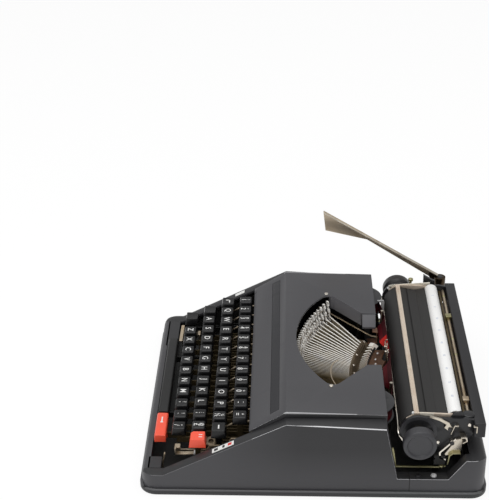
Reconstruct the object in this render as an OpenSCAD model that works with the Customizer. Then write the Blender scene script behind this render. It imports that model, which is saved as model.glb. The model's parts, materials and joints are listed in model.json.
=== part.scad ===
// Portable manual typewriter with a sliding carriage, an open type basket and a hinged ribbon cover.
// Millimetres. +X is the typist's right, +Y the rear, +Z up.
// The origin is the middle of the base on the table.

/* [Casing] */
// Width of the base pan over its lip
base_w = 286.8; // [284:0.2:296]
// Depth of the base pan over its lip
base_d = 316; // [314:0.5:324]
// Height of the base pan's lip
base_h = 4; // [3.5:0.1:5]
// Thickness of the base pan's floor
floor_t = 2; // [1.6:0.1:3]
// Plan radius of the casing's corners
corner_r = 14; // [8:0.5:18]
// Step from the pan's lip in to the casing's wall
lip_step = 2.1; // [1.5:0.1:3]
// Thickness of the casing's walls
wall = 2.5; // [2:0.1:3]
// Width of the rim that frames the keyboard and the cover
rim_w = 11.3; // [10:0.1:12.5]
// Height of the front apron
apron_z = 19.8; // [18:0.2:21]
// Depth of the level front apron
apron_d = 19.9; // [18:0.1:22]
// Radius along the apron's front edge
apron_r = 5; // [2:0.5:8]
// Height of the rim beside the cover
rim_z = 76.9; // [75.5:0.1:78]
// Depth of the level deck at the casing's rear
rear_run = 19.7; // [18:0.1:22]
// Depth of the level rim beside the cover
deck_run = 89; // [86:0.5:90]
// Depth over which the side wall falls to the carriage recess
fall_run = 11.5; // [9:0.5:12]
// Height of the carriage recess
recess_z = 19.2; // [17:0.2:21]
// Depth of the carriage recess
recess_run = 45.8; // [44:0.2:47]
// Depth of the chamfer behind the recess
chamfer_run = 14.9; // [13:0.1:16]
// Height of the casing behind the carriage
rear_z = 39.7; // [37:0.1:41]
// Distance from the recess's front to the casing's side seam
seam_back = 11.2; // [8:0.2:14]
// Radius of a rubber foot
foot_r = 9; // [6:0.5:12]
// Thickness of a rubber foot
foot_t = 1.2; // [0.8:0.1:1.4]

/* [Ribbon cover] */
// Gap between the cover and the rim at each side
cover_gap = 0.5; // [0.3:0.05:0.8]
// Thickness of the cover's sheet
cover_t = 2; // [1.6:0.1:2.4]
// Height of the cover over the rim at its bend
cover_rise = 5.1; // [4.5:0.1:6]
// Fall of the cover's top from its bend to its rear edge
cover_fall = 2; // [1:0.1:2.5]
// Depth of the cover's sloping front
cover_slope_run = 32.9; // [31:0.1:34]
// Height of the cover's front edge over the rim
cover_front_rise = 1.32; // [1:0.02:1.6]
// Depth of the cover's side walls
cover_side = 8; // [6:0.5:10]
// Width of the bare band on the cover's slope
band_w = 9; // [6:0.5:12]
// Distance of the bare band's ends from the cover's sides
band_margin = 10.5; // [8:0.5:20]
// Thickness of the bare band
band_t = 0.8; // [0.6:0.1:1]
// Radius of the cover's hinge pins
hinge_r = 1.4; // [1.2:0.1:1.6]
// Radius of the type opening's front arc
mouth_r = 129; // [127:0.5:132]
// Half width of the type opening's rear gap
gap_hw = 46; // [40:0.5:50]

/* [Keyboard] */
// Room beside the number row at each end
key_margin = 16; // [15:0.5:18]
// Depth in front of and behind the four key rows
row_margin = 34.6; // [33:0.2:36]
// Height of the number row's key tops over the cover's front edge
keys_rise = 1.3; // [0:0.1:2]
// Distance from the number row to the cover's front edge
keys_back = 8.9; // [8.6:0.1:10]
// Gap between neighbouring key caps
cap_gap = 4.6; // [4:0.1:6]
// Gap between the key caps of neighbouring rows
cap_row_gap = 6.7; // [6.5:0.1:8]
// Height of a key cap
cap_h = 8; // [6:0.5:9]
// Inset of a key cap's top from its foot
cap_taper = 1.2; // [0.5:0.1:2]
// Depth of the dish in a key cap's top
cap_dish = 0.5; // [0.3:0.1:0.8]
// Thickness of a key lever
lever_t = 1.5; // [1.2:0.1:1.6]
// Height of a key lever
lever_h = 6; // [4.5:0.5:7]
// Radius of the rod that the key levers turn on
fulcrum_r = 3; // [2.5:0.1:3.5]
// Depth of the space bar
bar_d = 10; // [8:0.5:11]
// Height of the space bar
bar_h = 8; // [6:0.5:9]

/* [Type basket] */
// Number of typebars
bars = 44; // [40:1:46]
// Radius of the circle that the typebars turn on
pivot_r = 50; // [48:0.5:52]
// Spread of the typebars to each side at the segment
pivot_span = 50; // [46:0.5:52]
// Tilt of the segment from the level
basket_tilt = 45; // [42:0.5:48]
// Thickness of a typebar
typebar_t = 0.9; // [0.8:0.05:0.95]
// Height of a typebar
typebar_h = 5; // [4:0.25:5.5]
// Length of a type slug
slug_l = 19; // [16:0.5:20]
// Width of a type slug
slug_w = 2.4; // [2:0.1:2.6]
// Width of the segment's ring
segment_w = 14; // [13:0.5:16]
// Thickness of the segment
segment_t = 10; // [9:0.5:12]
// Radius of a ribbon spool
spool_r = 22; // [20:0.5:23]
// Height of a ribbon spool
spool_h = 15; // [13:0.5:16]

/* [Carriage] */
// Radius of the platen
platen_r = 15.75; // [15:0.05:16.2]
// Gap from the platen's end to the carriage's end plate
platen_gap = 4.5; // [4.5:0.1:6]
// Height of the platen's axis
platen_z = 57.3; // [56.9:0.1:57.7]
// Radius of the platen's shaft
shaft_r = 4; // [3.5:0.1:4.5]
// Radius of a platen knob
knob_r = 15; // [13:0.2:15.6]
// Length of a platen knob
knob_l = 12.5; // [11:0.5:14]
// Room between the carriage's end plates and the casing's rim
carriage_margin = 10.5; // [9:0.1:12]
// Thickness of the carriage's end plates
plate_t = 3; // [2.5:0.1:3.5]
// Reach of the carriage's rear cover past each end plate
rear_cover_over = 8.7; // [6:0.1:12]
// Width of the paper bail's bar
bail_w = 4.4; // [4:0.2:5]
// Length of the return lever
return_l = 134.8; // [125:0.2:140]
// Rise of the return lever's top edge to its tip
return_rise = 52.8; // [48:0.2:54]
// Thickness of the return lever's sheet
return_t = 1.6; // [1.2:0.1:2]

/* [Fits] */
// Radial clearance of a running fit
run_gap = 0.05; // [0.02:0.01:0.09]
// Gap between parts that move past each other
pass_gap = 0.3; // [0.2:0.05:0.5]
// Gap at each side of a typebar in its slot
slot_gap = 0.1; // [0.08:0.01:0.12]

/* [Hidden] */
$fn = 64;

// Casing outline
case_hw = base_w / 2 - lip_step;
front_y = -base_d / 2 + lip_step;
rear_y = base_d / 2 - lip_step;
slope_y = front_y + apron_d;
slope_run = base_d - 2 * lip_step - apron_d - deck_run - fall_run - recess_run - chamfer_run - rear_run;
bend_y = slope_y + slope_run;
deck_y = bend_y + deck_run;
recess_y = deck_y + fall_run;
seam_y = recess_y + seam_back;
chamfer_y = recess_y + recess_run;
rear_deck_y = chamfer_y + chamfer_run;
slope_k = (rim_z - apron_z) / slope_run;
slope_a = atan(slope_k);
roof = wall * 1.12;
open_hw = case_hw - rim_w;
open_front_y = front_y + 7;
open_rear_y = rear_deck_y + 4;
frame_t = 2;
frame_x = open_hw + 3;
tall = 200;

// Cover
cover_hw = open_hw - cover_gap;
cover_top_z = rim_z + cover_rise;
cover_slope_fall = slope_k * cover_slope_run + cover_rise - cover_front_rise;
band_l = 2 * (cover_hw - band_margin);
cover_rear_y = deck_y + 1;
cover_front_y = bend_y - cover_slope_run;
cover_front_z = cover_top_z - cover_slope_fall;
cover_slope_a = atan(cover_slope_fall / cover_slope_run);
hinge_y = cover_front_y + 2.4;
hinge_z = cover_front_z - 1.3;
hinge_ear_r = hinge_r + 1.3;
hinge_ear_x = cover_hw - 10.5;
hinge_ear_l = 8;
mouth_front_y = bend_y + 10;
mouth_y = mouth_front_y + mouth_r;
mouth_hw = 86;
mouth_side_y = mouth_front_y + 34;
mouth_neck_y = mouth_front_y + 66;
mouth_corner_r = 8;
mouth_side = [gap_hw + 2, mouth_neck_y] - [mouth_hw, mouth_side_y];
mouth_side_d = mouth_side / norm(mouth_side);
mouth_side_n = [mouth_side_d.y, -mouth_side_d.x];
corner_from = [mouth_hw, mouth_side_y - mouth_y] - mouth_corner_r * mouth_side_n;
corner_b = corner_from * mouth_side_d;
corner_reach = pow(mouth_r - mouth_corner_r, 2) - corner_from * corner_from;
corner_run = -corner_b - sqrt(corner_b * corner_b + corner_reach);
corner_mid = corner_from + corner_run * mouth_side_d;
corner_at = corner_mid + [0, mouth_y];
corner_line = concat(
    [corner_mid * (mouth_r + 0.3) / (mouth_r - mouth_corner_r) + [0, mouth_y]],
    [for (a = [-40:20:40]) corner_at + mouth_corner_r * [cos(a), sin(a)]],
    [corner_at + mouth_corner_r * mouth_side_n]
);
mouth_wall_z = cover_top_z - 16;

// Keyboard
key_pitch = (open_hw - key_margin) / 6;
row_pitch = (slope_run - row_margin) / 4;
row_drop = 0.78 * slope_k * row_pitch;
keys_z = cover_front_z + keys_rise;
cap_w = key_pitch - cap_gap;
cap_d = row_pitch - cap_row_gap;
row_y = [for (i = [0:3]) cover_front_y - keys_back - row_pitch * i];
row_z = [for (i = [0:3]) keys_z - row_drop * i];
row_n = [12, 11, 11, 10];
row_stagger = [0, 0.5, 0.75, 1.25];
first_x = -5.5 * key_pitch - 0.5;
function key_x(row, i) = first_x + key_pitch * (row_stagger[row] + i);
centre_i = 5;
fulcrum_y = bend_y + 49;
fulcrum_z = 23;
lever_z = fulcrum_z - lever_h / 2;
ring_r = fulcrum_r + 3;
stem_d = 5;
bar_y = open_front_y + 7;
bar_z = row_z[3] - 9.3;
bar_x0 = -4.1 * key_pitch;
bar_x1 = 2.9 * key_pitch;
red_bar_x1 = 4.95 * key_pitch;
bar_drop = 7;

// Type basket
platen_y = recess_y + 18.3;
strike_y = platen_y - 20.8;
strike_z = platen_z + 14.7;
rest_z = 57.3;
rest_dip = 10;
rest_r = 113.6;
rest_front_y = mouth_front_y + 5.4;
rest_span = 42.4;
crowding = 0.2;
slug_lean = 15;
slug_d = 4;
tail_l = 3;
typebar_pin_r = 0.8;
segment_in = pivot_r - 6;
segment_front = 2;
slot_floor = segment_t - segment_front - 3;
function even_u(i) = -1 + 2 * i / (bars - 1);
function bar_u(i) = even_u(i) * (1 - crowding + crowding * pow(even_u(i), 2));
function pivot_at(u) =
    let (p = pivot_span * u, c = pivot_r * cos(p))
    [pivot_r * sin(p), strike_y - c * cos(basket_tilt), strike_z - c * sin(basket_tilt)];
function rest_at(u) = [
    rest_r * sin(rest_span * u),
    rest_front_y + rest_r * (1 - cos(rest_span * u)),
    rest_z - rest_dip * (1 - u * u)
];
function yaw_of(v) = atan2(v.y, v.x);
function pitch_of(v) = asin(v.z / norm(v));
centre_bar = floor(bars / 2);
spool_x = 0.7385 * open_hw;
spool_y = strike_y - 21;
spool_z = 58;
spool_core_r = spool_r - 5;
spool_pin_r = 2.5;
ribbon_t = 0.4;
ribbon_y = platen_y - platen_r - 2.4;
ribbon_post_x = spool_x - 30;
ribbon_post_r = 1.5;
guide_r = 1.9;
guide_z = 46;

// Carriage
plate_x = open_hw - carriage_margin;
platen_l = 2 * (plate_x - platen_gap);
rear_cover_l = 2 * (plate_x + rear_cover_over);
stop_left_x = -plate_x + 57;
stop_right_x = plate_x - 33;
rail_y = platen_y + 15.2;
rail_d = 10;
rail_z = 26;
rail_h = 10;
bed_z = rail_z + rail_h + pass_gap;
bed_t = 3.9;
bed_top = bed_z + bed_t;
rear_cover_y = platen_y + 49.2;
rear_cover_d = 10;
rear_cover_z = platen_z - 0.8;
rear_cover_h = 14.7;
feed_r = 4;
feed_pin_r = 2;
feed_z = platen_z - platen_r - pass_gap - feed_r;
bail_y = platen_y + 34.2;
bail_z = platen_z + 12.7;
bail_pin_r = 1.5;
bail_arm_t = 1.5;
bail_arm_x = platen_l / 2 + 1;
arch_y = platen_y + 33;
arch_z = platen_z + 12.7;
arch_r = 6.6;
strip_hw = bail_arm_x - 0.6;
rail_rod_r = 2;
rail_rod_y = rear_cover_y - 3;
rail_rod_z = platen_z + 8.7;
knob_x = plate_x + 25 - knob_l;
pin_r = 2;
release_y = platen_y + 30.2;
release_z = platen_z - 7.3;
paper_pin_y = platen_y + 28.2;
paper_pin_z = platen_z + 4.7;
stud_x = -(plate_x + 25);
stud_y = platen_y + 45.7;
stud_r = 3;
stud_z = platen_z + 2.7;
return_yaw = -110.8;
drum_x = -0.28 * open_hw;
drum_y = platen_y - 1.8;
drum_r = 18;
drum_pin_r = 3;

// A solid of a (Y, Z) outline, drawn along X about the middle
module along_x(length) {
    rotate([90, 0, 90]) linear_extrude(height = length, center = true) children();
}

// A round bar along X from x0 to x1 about (y, z)
module rod_x(r, x0, x1, y, z) {
    translate([x0, y, z]) rotate([0, 90, 0]) cylinder(r = r, h = x1 - x0);
}

// Copies at both sides of the middle plane
module both_sides() {
    children();
    mirror([1, 0, 0]) children();
}

module rounded(w, d, r) {
    square([w - 2 * r, d], center = true);
    square([w, d - 2 * r], center = true);
    for (x = [-1, 1], y = [-1, 1]) translate([x * (w / 2 - r), y * (d / 2 - r)]) circle(r);
}

// Side outline of the casing, with its roof lowered and its ends drawn in for the inside
module case_side(drop, inset, foot) {
    edge_r = apron_r - min(inset, apron_r - 1);
    polygon(concat(
        [[front_y + inset, foot]],
        [for (a = [180:-15:90]) [
            front_y + inset + edge_r * (1 + cos(a)), apron_z - drop + edge_r * (sin(a) - 1)]],
        [[slope_y, apron_z - drop], [bend_y, rim_z - drop],
         [deck_y - inset, rim_z - drop],
         [recess_y - inset, recess_z - drop],
         [chamfer_y + inset, recess_z - drop], [rear_deck_y + inset / 2, rear_z - drop]],
        [for (a = [90:-15:0]) [
            rear_y - inset + edge_r * (cos(a) - 1), rear_z - drop + edge_r * (sin(a) - 1)]],
        [[rear_y - inset, foot]]
    ));
}

module case_block(drop, inset, foot) {
    intersection() {
        along_x(2 * tall) case_side(drop, inset, foot);
        linear_extrude(height = tall)
            rounded(2 * (case_hw - inset), rear_y - front_y - 2 * inset, corner_r - inset);
    }
}

module case_shell() {
    difference() {
        case_block(0, 0, base_h);
        case_block(roof, wall, 0);
        translate([-open_hw, open_front_y, base_h]) cube([2 * open_hw, open_rear_y - open_front_y, tall]);
    }
}

module base_pan() color("dimgray") {
    inner_w = 2 * (case_hw - wall - 1);
    inner_d = rear_y - front_y - 2 * (wall + 1);
    difference() {
        linear_extrude(height = base_h) rounded(base_w, base_d, corner_r + lip_step);
        translate([0, 0, floor_t]) linear_extrude(height = tall) rounded(inner_w, inner_d, corner_r - wall);
        for (p = foot_places()) translate([p.x, p.y, -1]) cylinder(r = foot_r + run_gap, h = foot_t + 1);
    }
    translate([drum_x, drum_y, floor_t]) cylinder(r = drum_pin_r, h = drum_pin_h());
}

function foot_places() = [for (x = [-1, 1], y = [-1, 1]) [x * (case_hw - 26), y * (rear_y - 28)]];
function drum_pin_h() = 19;

module rubber_feet() color("black") {
    for (p = foot_places()) translate([p.x, p.y, 0]) cylinder(r = foot_r, h = foot_t);
}

module front_housing() color("dimgray") {
    intersection() {
        case_shell();
        translate([-tall, -tall, 0]) cube([2 * tall, tall + seam_y, tall]);
    }
}

module rear_housing() color("dimgray") {
    intersection() {
        case_shell();
        translate([-tall, seam_y, 0]) cube([2 * tall, tall, tall]);
    }
}

module casing_screws() color("silver") {
    head_r = 2.6;
    head_h = 1.4;
    both_sides() for (y = [seam_y + 8, chamfer_y - 8])
        translate([case_hw - rim_w / 2, y, recess_z]) cylinder(r = head_r, h = head_h);
}

// A thin plate that lies on the sloping rim
module rim_plate(x, y, w, l, t) {
    z = apron_z + (y - slope_y) * slope_k;
    translate([x, y, z]) rotate([slope_a, 0, 0]) translate([-w / 2, -l / 2, 0]) cube([w, l, t]);
}

module rim_plates() color("gainsboro") {
    rim_plate(case_hw - rim_w / 2, slope_y + 55, 6, 22, 0.6);
    rim_plate(-(case_hw - rim_w / 2), slope_y + 62, 5, 11, 0.6);
}

// Pressed side plates that carry the cross pieces inside the casing
module side_frames() color("black") {
    gap = roof + 2.2;
    both_sides() translate([frame_x + frame_t / 2, 0, 0]) along_x(frame_t) polygon([
        [slope_y + 8, floor_t],
        [slope_y + 8, apron_z - gap], [bend_y, rim_z - gap - 2], [deck_y - 6, rim_z - gap],
        [recess_y - 5, recess_z - gap], [chamfer_y + 4, recess_z - gap],
        [rear_deck_y + 4, rear_z - gap - 2], [rear_y - 8, rear_z - gap - 2], [rear_y - 8, floor_t]
    ]);
}

// Back plane of the segment at depth y: the bracket behind it stands on the same plane
function segment_back_z(y) =
    strike_z + (y - strike_y) * tan(basket_tilt) - (segment_t - segment_front) / cos(basket_tilt);

module cross_frame() color("black") {
    beam_y = strike_y - 15;
    beam_d = 6;
    beam_z = 14;
    beam_h = 12;
    foot_y = strike_y - (pivot_r + 4) * cos(basket_tilt) + 4;
    head_y = foot_y + 8;
    translate([-frame_x, beam_y, beam_z]) cube([2 * frame_x, beam_d, beam_h]);
    along_x(24) polygon([
        [foot_y, segment_back_z(foot_y)], [head_y, segment_back_z(head_y)],
        [beam_y, beam_z + beam_h], [beam_y, beam_z], [beam_y - 8, beam_z]
    ]);
    translate([-frame_x, rear_deck_y - 2, floor_t]) cube([2 * frame_x, 3, 26]);
    translate([-4, beam_y + beam_d, beam_z]) cube([8, 3, guide_z + 4 - beam_z]);
    translate([0, beam_y + beam_d + 3, guide_z]) rotate([-90, 0, 0]) cylinder(r = guide_r, h = 8);
}

module fulcrum_rod() color("silver") rod_x(fulcrum_r, -frame_x, frame_x, fulcrum_y, fulcrum_z);

// Grooved rail under the carriage, on two posts
module carriage_rail() color("silver") {
    groove = 2;
    difference() {
        translate([-open_hw + 2, rail_y, rail_z]) cube([2 * open_hw - 4, rail_d, rail_h]);
        for (y = [rail_y, rail_y + rail_d]) translate([-tall, y, rail_z + rail_h / 2]) rotate([45, 0, 0])
            cube([2 * tall, groove, groove], center = false);
    }
    for (s = [-1, 1]) translate([s * (open_hw - 30) - 3, rail_y + 2, floor_t])
        cube([6, 6, rail_z - floor_t]);
}

module spool_shafts() color("silver") {
    collar_r = 8;
    collar_h = 3;
    both_sides() translate([spool_x, spool_y, 0]) {
        translate([0, 0, floor_t]) cylinder(r = spool_pin_r, h = spool_z + spool_h + 2 - floor_t);
        translate([0, 0, spool_z - pass_gap - collar_h]) cylinder(r = collar_r, h = collar_h);
    }
    both_sides() translate([ribbon_post_x, ribbon_y - 1.2 - ribbon_post_r - run_gap, floor_t])
        cylinder(r = ribbon_post_r, h = spool_z + spool_h - floor_t);
}

module cover_hinge_pins() color("silver") {
    both_sides() rod_x(hinge_r, hinge_ear_x - 1, open_hw, hinge_y, hinge_z);
}

// Segment frame: X across, Y up the slope of the segment, Z out of its front face
module on_segment() {
    translate([0, strike_y, strike_z]) rotate([basket_tilt, 0, 0]) children();
}

module sector(r_in, r_out, half_angle) {
    reach = 2 * r_out;
    intersection() {
        difference() {
            circle(r_out, $fn = 128);
            circle(r_in, $fn = 128);
        }
        polygon([[0, 0], [-reach * tan(half_angle), -reach], [reach * tan(half_angle), -reach]]);
    }
}

// A flat bar from p to q, upright in its own vertical plane
module flat_bar(p, q, t, h) {
    v = q - p;
    translate(p) rotate([0, -pitch_of(v), yaw_of(v)]) translate([0, -t / 2, -h / 2]) cube([norm(v), t, h]);
}

module typebar(i) {
    u = bar_u(i);
    p = pivot_at(u);
    q = rest_at(u);
    flat_bar(p - (q - p) * tail_l / norm(q - p), q, typebar_t, typebar_h);
    translate(q) rotate([0, slug_lean, yaw_of(q - p)])
        translate([-slug_d / 2, -slug_w / 2, -typebar_h / 2])
        cube([slug_d, slug_w, slug_l + typebar_h / 2]);
}

// The slot that a typebar lies and swings in: an upright slab through its pivot
module slot_slab(i) {
    p = pivot_at(bar_u(i));
    q = rest_at(bar_u(i));
    slab = 40;
    translate(p) rotate([0, 0, yaw_of(q - p)])
        cube([slab, typebar_t + 2 * slot_gap, slab], center = true);
}

module type_segment() color("darkkhaki") {
    difference() {
        on_segment() translate([0, 0, segment_front - segment_t]) linear_extrude(height = segment_t)
            sector(segment_in, segment_in + segment_w, pivot_span + 5);
        for (i = [0:bars - 1]) intersection() {
            on_segment() translate([0, 0, -slot_floor]) linear_extrude(height = 2 * segment_t)
                sector(segment_in - 4, segment_in + segment_w + 4, pivot_span + 6);
            slot_slab(i);
        }
    }
    pivot_pin(typebar_pin_r, typebar_t + 2 * slot_gap + 0.6);
}

// Pin that the centre typebar turns on, across its slot
module pivot_pin(r, length) {
    u = bar_u(centre_bar);
    p = pivot_at(u);
    translate(p) rotate([90, 0, yaw_of(rest_at(u) - p)]) cylinder(r = r, h = length, center = true);
}

module typebars() color("silver") {
    for (i = [0:bars - 1]) if (i != centre_bar) typebar(i);
}

module centre_typebar() color("silver") difference() {
    typebar(centre_bar);
    pivot_pin(typebar_pin_r + run_gap, 4 * typebar_t);
}

// Curved rest under the typebars' front ends, carried by the side frames
module typebar_rest() color("black") {
    top_z = rest_z - rest_dip - 4.9;
    rest_h = 6;
    rest_d = 6;
    arm_y = rest_front_y + rest_r * (1 - cos(rest_span)) - 4;
    translate([0, rest_front_y + rest_r, top_z - rest_h]) linear_extrude(height = rest_h)
        sector(rest_r - 2 - rest_d, rest_r - 2, rest_span + 2);
    both_sides() translate([rest_r * sin(rest_span) - 8, arm_y, top_z - rest_h])
        cube([frame_x - rest_r * sin(rest_span) + 8, rest_d, rest_h]);
}

// Ribbon from spool to spool, as one thin upright band
module ribbon() color("maroon") {
    start_y = spool_y + spool_core_r + pass_gap;
    line = [[spool_x, start_y], [ribbon_post_x, ribbon_y - 1.2], [0, ribbon_y]];
    both_sides() translate([0, 0, spool_z + 1.8]) linear_extrude(height = spool_h - 3.6)
        polygon(concat(
            [for (p = line) p],
            [for (k = [2:-1:0]) [line[k].x, line[k].y + ribbon_t]]
        ));
}

module cover_side_outline(depth) {
    polygon([
        [cover_front_y, cover_front_z], [bend_y, cover_top_z], [cover_rear_y, cover_top_z - cover_fall],
        [cover_rear_y, cover_top_z - cover_fall - depth], [bend_y, cover_top_z - depth * 1.1],
        [cover_front_y + depth * 0.35, cover_front_z + depth * 0.22 - depth * 1.15]
    ]);
}

module mouth_outline() {
    far = 90;
    intersection() {
        translate([0, mouth_y]) circle(mouth_r, $fn = 128);
        polygon(concat(
            [[-mouth_hw - 4, mouth_front_y - 5], [mouth_hw + 4, mouth_front_y - 5]],
            corner_line,
            [[gap_hw + 2, mouth_neck_y], [gap_hw, cover_rear_y + far]],
            [[-gap_hw, cover_rear_y + far], [-gap_hw - 2, mouth_neck_y]],
            [for (k = [len(corner_line) - 1:-1:0]) [-corner_line[k].x, corner_line[k].y]]
        ));
    }
}

// Name band's seat on the cover's slope, by its middle
module on_slope() {
    back = 12;
    translate([0, bend_y - back * cos(cover_slope_a), cover_top_z - back * sin(cover_slope_a)])
        rotate([cover_slope_a, 0, 0]) children();
}

module ribbon_cover() color("dimgray") {
    lip = 5;
    difference() {
        union() {
            along_x(2 * cover_hw) cover_side_outline(cover_t);
            both_sides() translate([cover_hw - cover_t / 2, 0, 0])
                along_x(cover_t) cover_side_outline(cover_side);
            both_sides() translate([(cover_hw + gap_hw) / 2, 0, 0]) along_x(cover_hw - gap_hw)
                translate([cover_rear_y - cover_t, cover_top_z - cover_fall - lip])
                square([cover_t, lip]);
            mouth_walls();
            both_sides() rod_x(hinge_ear_r, hinge_ear_x, hinge_ear_x + hinge_ear_l, hinge_y, hinge_z);
        }
        translate([0, 0, cover_front_z]) linear_extrude(height = tall) mouth_outline();
        on_slope() translate([-band_l / 2 - pass_gap, -band_w / 2 - pass_gap, -band_t])
            cube([band_l + 2 * pass_gap, band_w + 2 * pass_gap, tall]);
        both_sides() rod_x(hinge_r + run_gap, hinge_ear_x - 2, open_hw + 1, hinge_y, hinge_z);
    }
    both_sides() gap_facet();
}

// Slanted face at each side of the opening's rear gap
module gap_facet() {
    facet_w = 9;
    facet_fall = 9;
    root_w = 5.3;
    sink = 0.4;
    top_z = cover_top_z - cover_fall - sink;
    facet_l = cover_rear_y - mouth_neck_y - 2 * sink;
    translate([0, cover_rear_y - sink, 0]) rotate([90, 0, 0]) linear_extrude(height = facet_l)
        polygon([
            [gap_hw + root_w, top_z], [gap_hw, top_z],
            [gap_hw - facet_w, top_z - facet_fall], [gap_hw - facet_w, top_z - facet_fall - cover_t],
            [gap_hw, top_z - cover_t], [gap_hw + root_w, top_z - cover_t]
        ]);
}

// Walls that hang from the straight sides of the type opening
module mouth_walls() {
    mouth_wall_h = cover_top_z - cover_fall - mouth_wall_z;
    both_sides() translate([0, 0, mouth_wall_z]) linear_extrude(height = mouth_wall_h)
        polygon([
            [mouth_hw - 2, mouth_side_y], [gap_hw + 2, mouth_neck_y],
            [gap_hw + 2 + cover_t, mouth_neck_y + 1], [mouth_hw + 2, mouth_side_y + 1]
        ]);
}

module name_band() color("black") on_slope()
    translate([-band_l / 2, -band_w / 2, -band_t]) cube([band_l, band_w, band_t]);

// Plate that lifts the ribbon in front of the printing point
module ribbon_vibrator() color("silver") {
    blade_hw = 9;
    blade_t = 1;
    top_z = spool_z + 12;
    foot_z = 34;
    translate([0, ribbon_y - 2 * blade_t, 0]) difference() {
        translate([-blade_hw, 0, foot_z]) cube([2 * blade_hw, blade_t, top_z - foot_z]);
        translate([-blade_hw + 3, -1, top_z - 12]) cube([2 * blade_hw - 6, blade_t + 2, tall]);
        translate([-guide_r - run_gap, -1, guide_z - 8]) cube([2 * (guide_r + run_gap), blade_t + 2, 12]);
    }
}

module spool() {
    flange_t = 1.2;
    difference() {
        union() {
            for (z = [0, spool_h - flange_t]) translate([0, 0, z]) cylinder(r = spool_r, h = flange_t);
            cylinder(r = spool_core_r, h = spool_h);
        }
        translate([0, 0, -1]) cylinder(r = spool_pin_r + run_gap, h = tall);
        for (a = [0:120:240]) rotate(a)
            translate([spool_core_r / 2, 0, spool_h - 3]) cylinder(r = 3, h = tall);
    }
}

module spool_left() color("black") translate([-spool_x, spool_y, spool_z]) spool();

module spool_right() color("black") translate([spool_x, spool_y, spool_z]) spool();

module mainspring_drum() color("silver") {
    drum_h = 14;
    translate([drum_x, drum_y, floor_t + pass_gap]) difference() {
        union() {
            cylinder(r = drum_r + 2, h = 1.5);
            cylinder(r = drum_r, h = drum_h);
            translate([0, 0, drum_h - 1.5]) cylinder(r = drum_r + 2, h = 1.5);
        }
        translate([0, 0, -1]) cylinder(r = drum_pin_r + run_gap, h = tall);
    }
}

// Tapered key cap with a dished top, its foot at z = 0
module cap(w, d, h) {
    dish_r = (w * w / 4 + cap_dish * cap_dish) / (2 * cap_dish);
    difference() {
        intersection() {
            rotate([90, 0, 0]) linear_extrude(height = tall, center = true) polygon([
                [-w / 2, 0], [w / 2, 0], [w / 2 - cap_taper, h], [-w / 2 + cap_taper, h]]);
            along_x(tall) polygon([
                [-d / 2, 0], [d / 2, 0], [d / 2 - cap_taper, h], [-d / 2 + cap_taper, h]]);
        }
        translate([0, 0, h + dish_r - cap_dish]) rotate([90, 0, 0])
            cylinder(r = dish_r, h = tall, center = true);
    }
}

// Key lever at x with its stem at y up to z, turning on the fulcrum rod.
// Its arm is dropped where the caps of other keys come down over it.
module key_lever(x, y, z, drop = 0) {
    arm_z = lever_z - drop;
    difference() {
        union() {
            translate([x - lever_t / 2, y - stem_d / 2, arm_z]) {
                cube([lever_t, fulcrum_y - y + stem_d / 2, lever_h]);
                cube([lever_t, stem_d, z - arm_z]);
            }
            rod_x(ring_r, x - lever_t / 2, x + lever_t / 2, fulcrum_y, fulcrum_z);
        }
        rod_x(fulcrum_r + run_gap, x - lever_t, x + lever_t, fulcrum_y, fulcrum_z);
    }
}

module row_caps(row, skip) {
    for (i = [0:row_n[row] - 1]) if (i != skip)
        translate([key_x(row, i), row_y[row], row_z[row] - cap_h]) cap(cap_w, cap_d, cap_h);
}

module row_levers(row, skip) {
    for (i = [0:row_n[row] - 1]) if (i != skip) key_lever(key_x(row, i), row_y[row], row_z[row] - cap_h);
}

module number_row_caps() color("black") row_caps(0, -1);

module number_row_levers() color("goldenrod") row_levers(0, -1);

module upper_row_caps() color("black") row_caps(1, -1);

module upper_row_levers() color("goldenrod") row_levers(1, -1);

module home_row_caps() color("black") row_caps(2, centre_i);

module home_row_levers() color("goldenrod") row_levers(2, centre_i);

module lower_row_caps() color("black") row_caps(3, -1);

module lower_row_levers() color("goldenrod") row_levers(3, -1);

module centre_key_cap() color("black")
    translate([key_x(2, centre_i), row_y[2], row_z[2] - cap_h]) cap(cap_w, cap_d, cap_h);

module centre_key_lever() color("goldenrod") key_lever(key_x(2, centre_i), row_y[2], row_z[2] - cap_h);

// A key outside the letter block: its cap stands on its own lever
module lone_key(cap_x, lever_x, row) {
    sunk = 1;
    translate([cap_x, row_y[row], row_z[row] - cap_h]) cap(cap_w, cap_d, cap_h);
    key_lever(lever_x, row_y[row], row_z[row] - cap_h + sunk);
}

module margin_release_key() color("black") {
    x = key_x(1, 0) - key_pitch - 0.5;
    lone_key(x, x - 1, 1);
}

module right_end_key() color("black") {
    x = key_x(1, row_n[1]);
    lone_key(x, x, 1);
}

module shift_lock_key() color("black") {
    x = key_x(2, 0) - key_pitch - 1;
    lone_key(x, x - 1.25, 2);
}

module red_row_key() color("tomato") {
    x = key_x(2, row_n[2]) - 1;
    lone_key(x, x, 2);
}

module left_shift_key() color("black") {
    x = key_x(3, 0) - 1.5 * key_pitch;
    lone_key(x, x + 1.25, 3);
}

// The right shift's bare lever end, bent over level
module right_shift_lever() color("goldenrod") {
    x = key_x(3, row_n[3]) + 0.25;
    top_z = row_z[3] - cap_h;
    key_lever(x, row_y[3], top_z);
    translate([x - lever_t / 2, row_y[3] - stem_d / 2, top_z - lever_t]) cube([6, stem_d, lever_t]);
}

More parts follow.
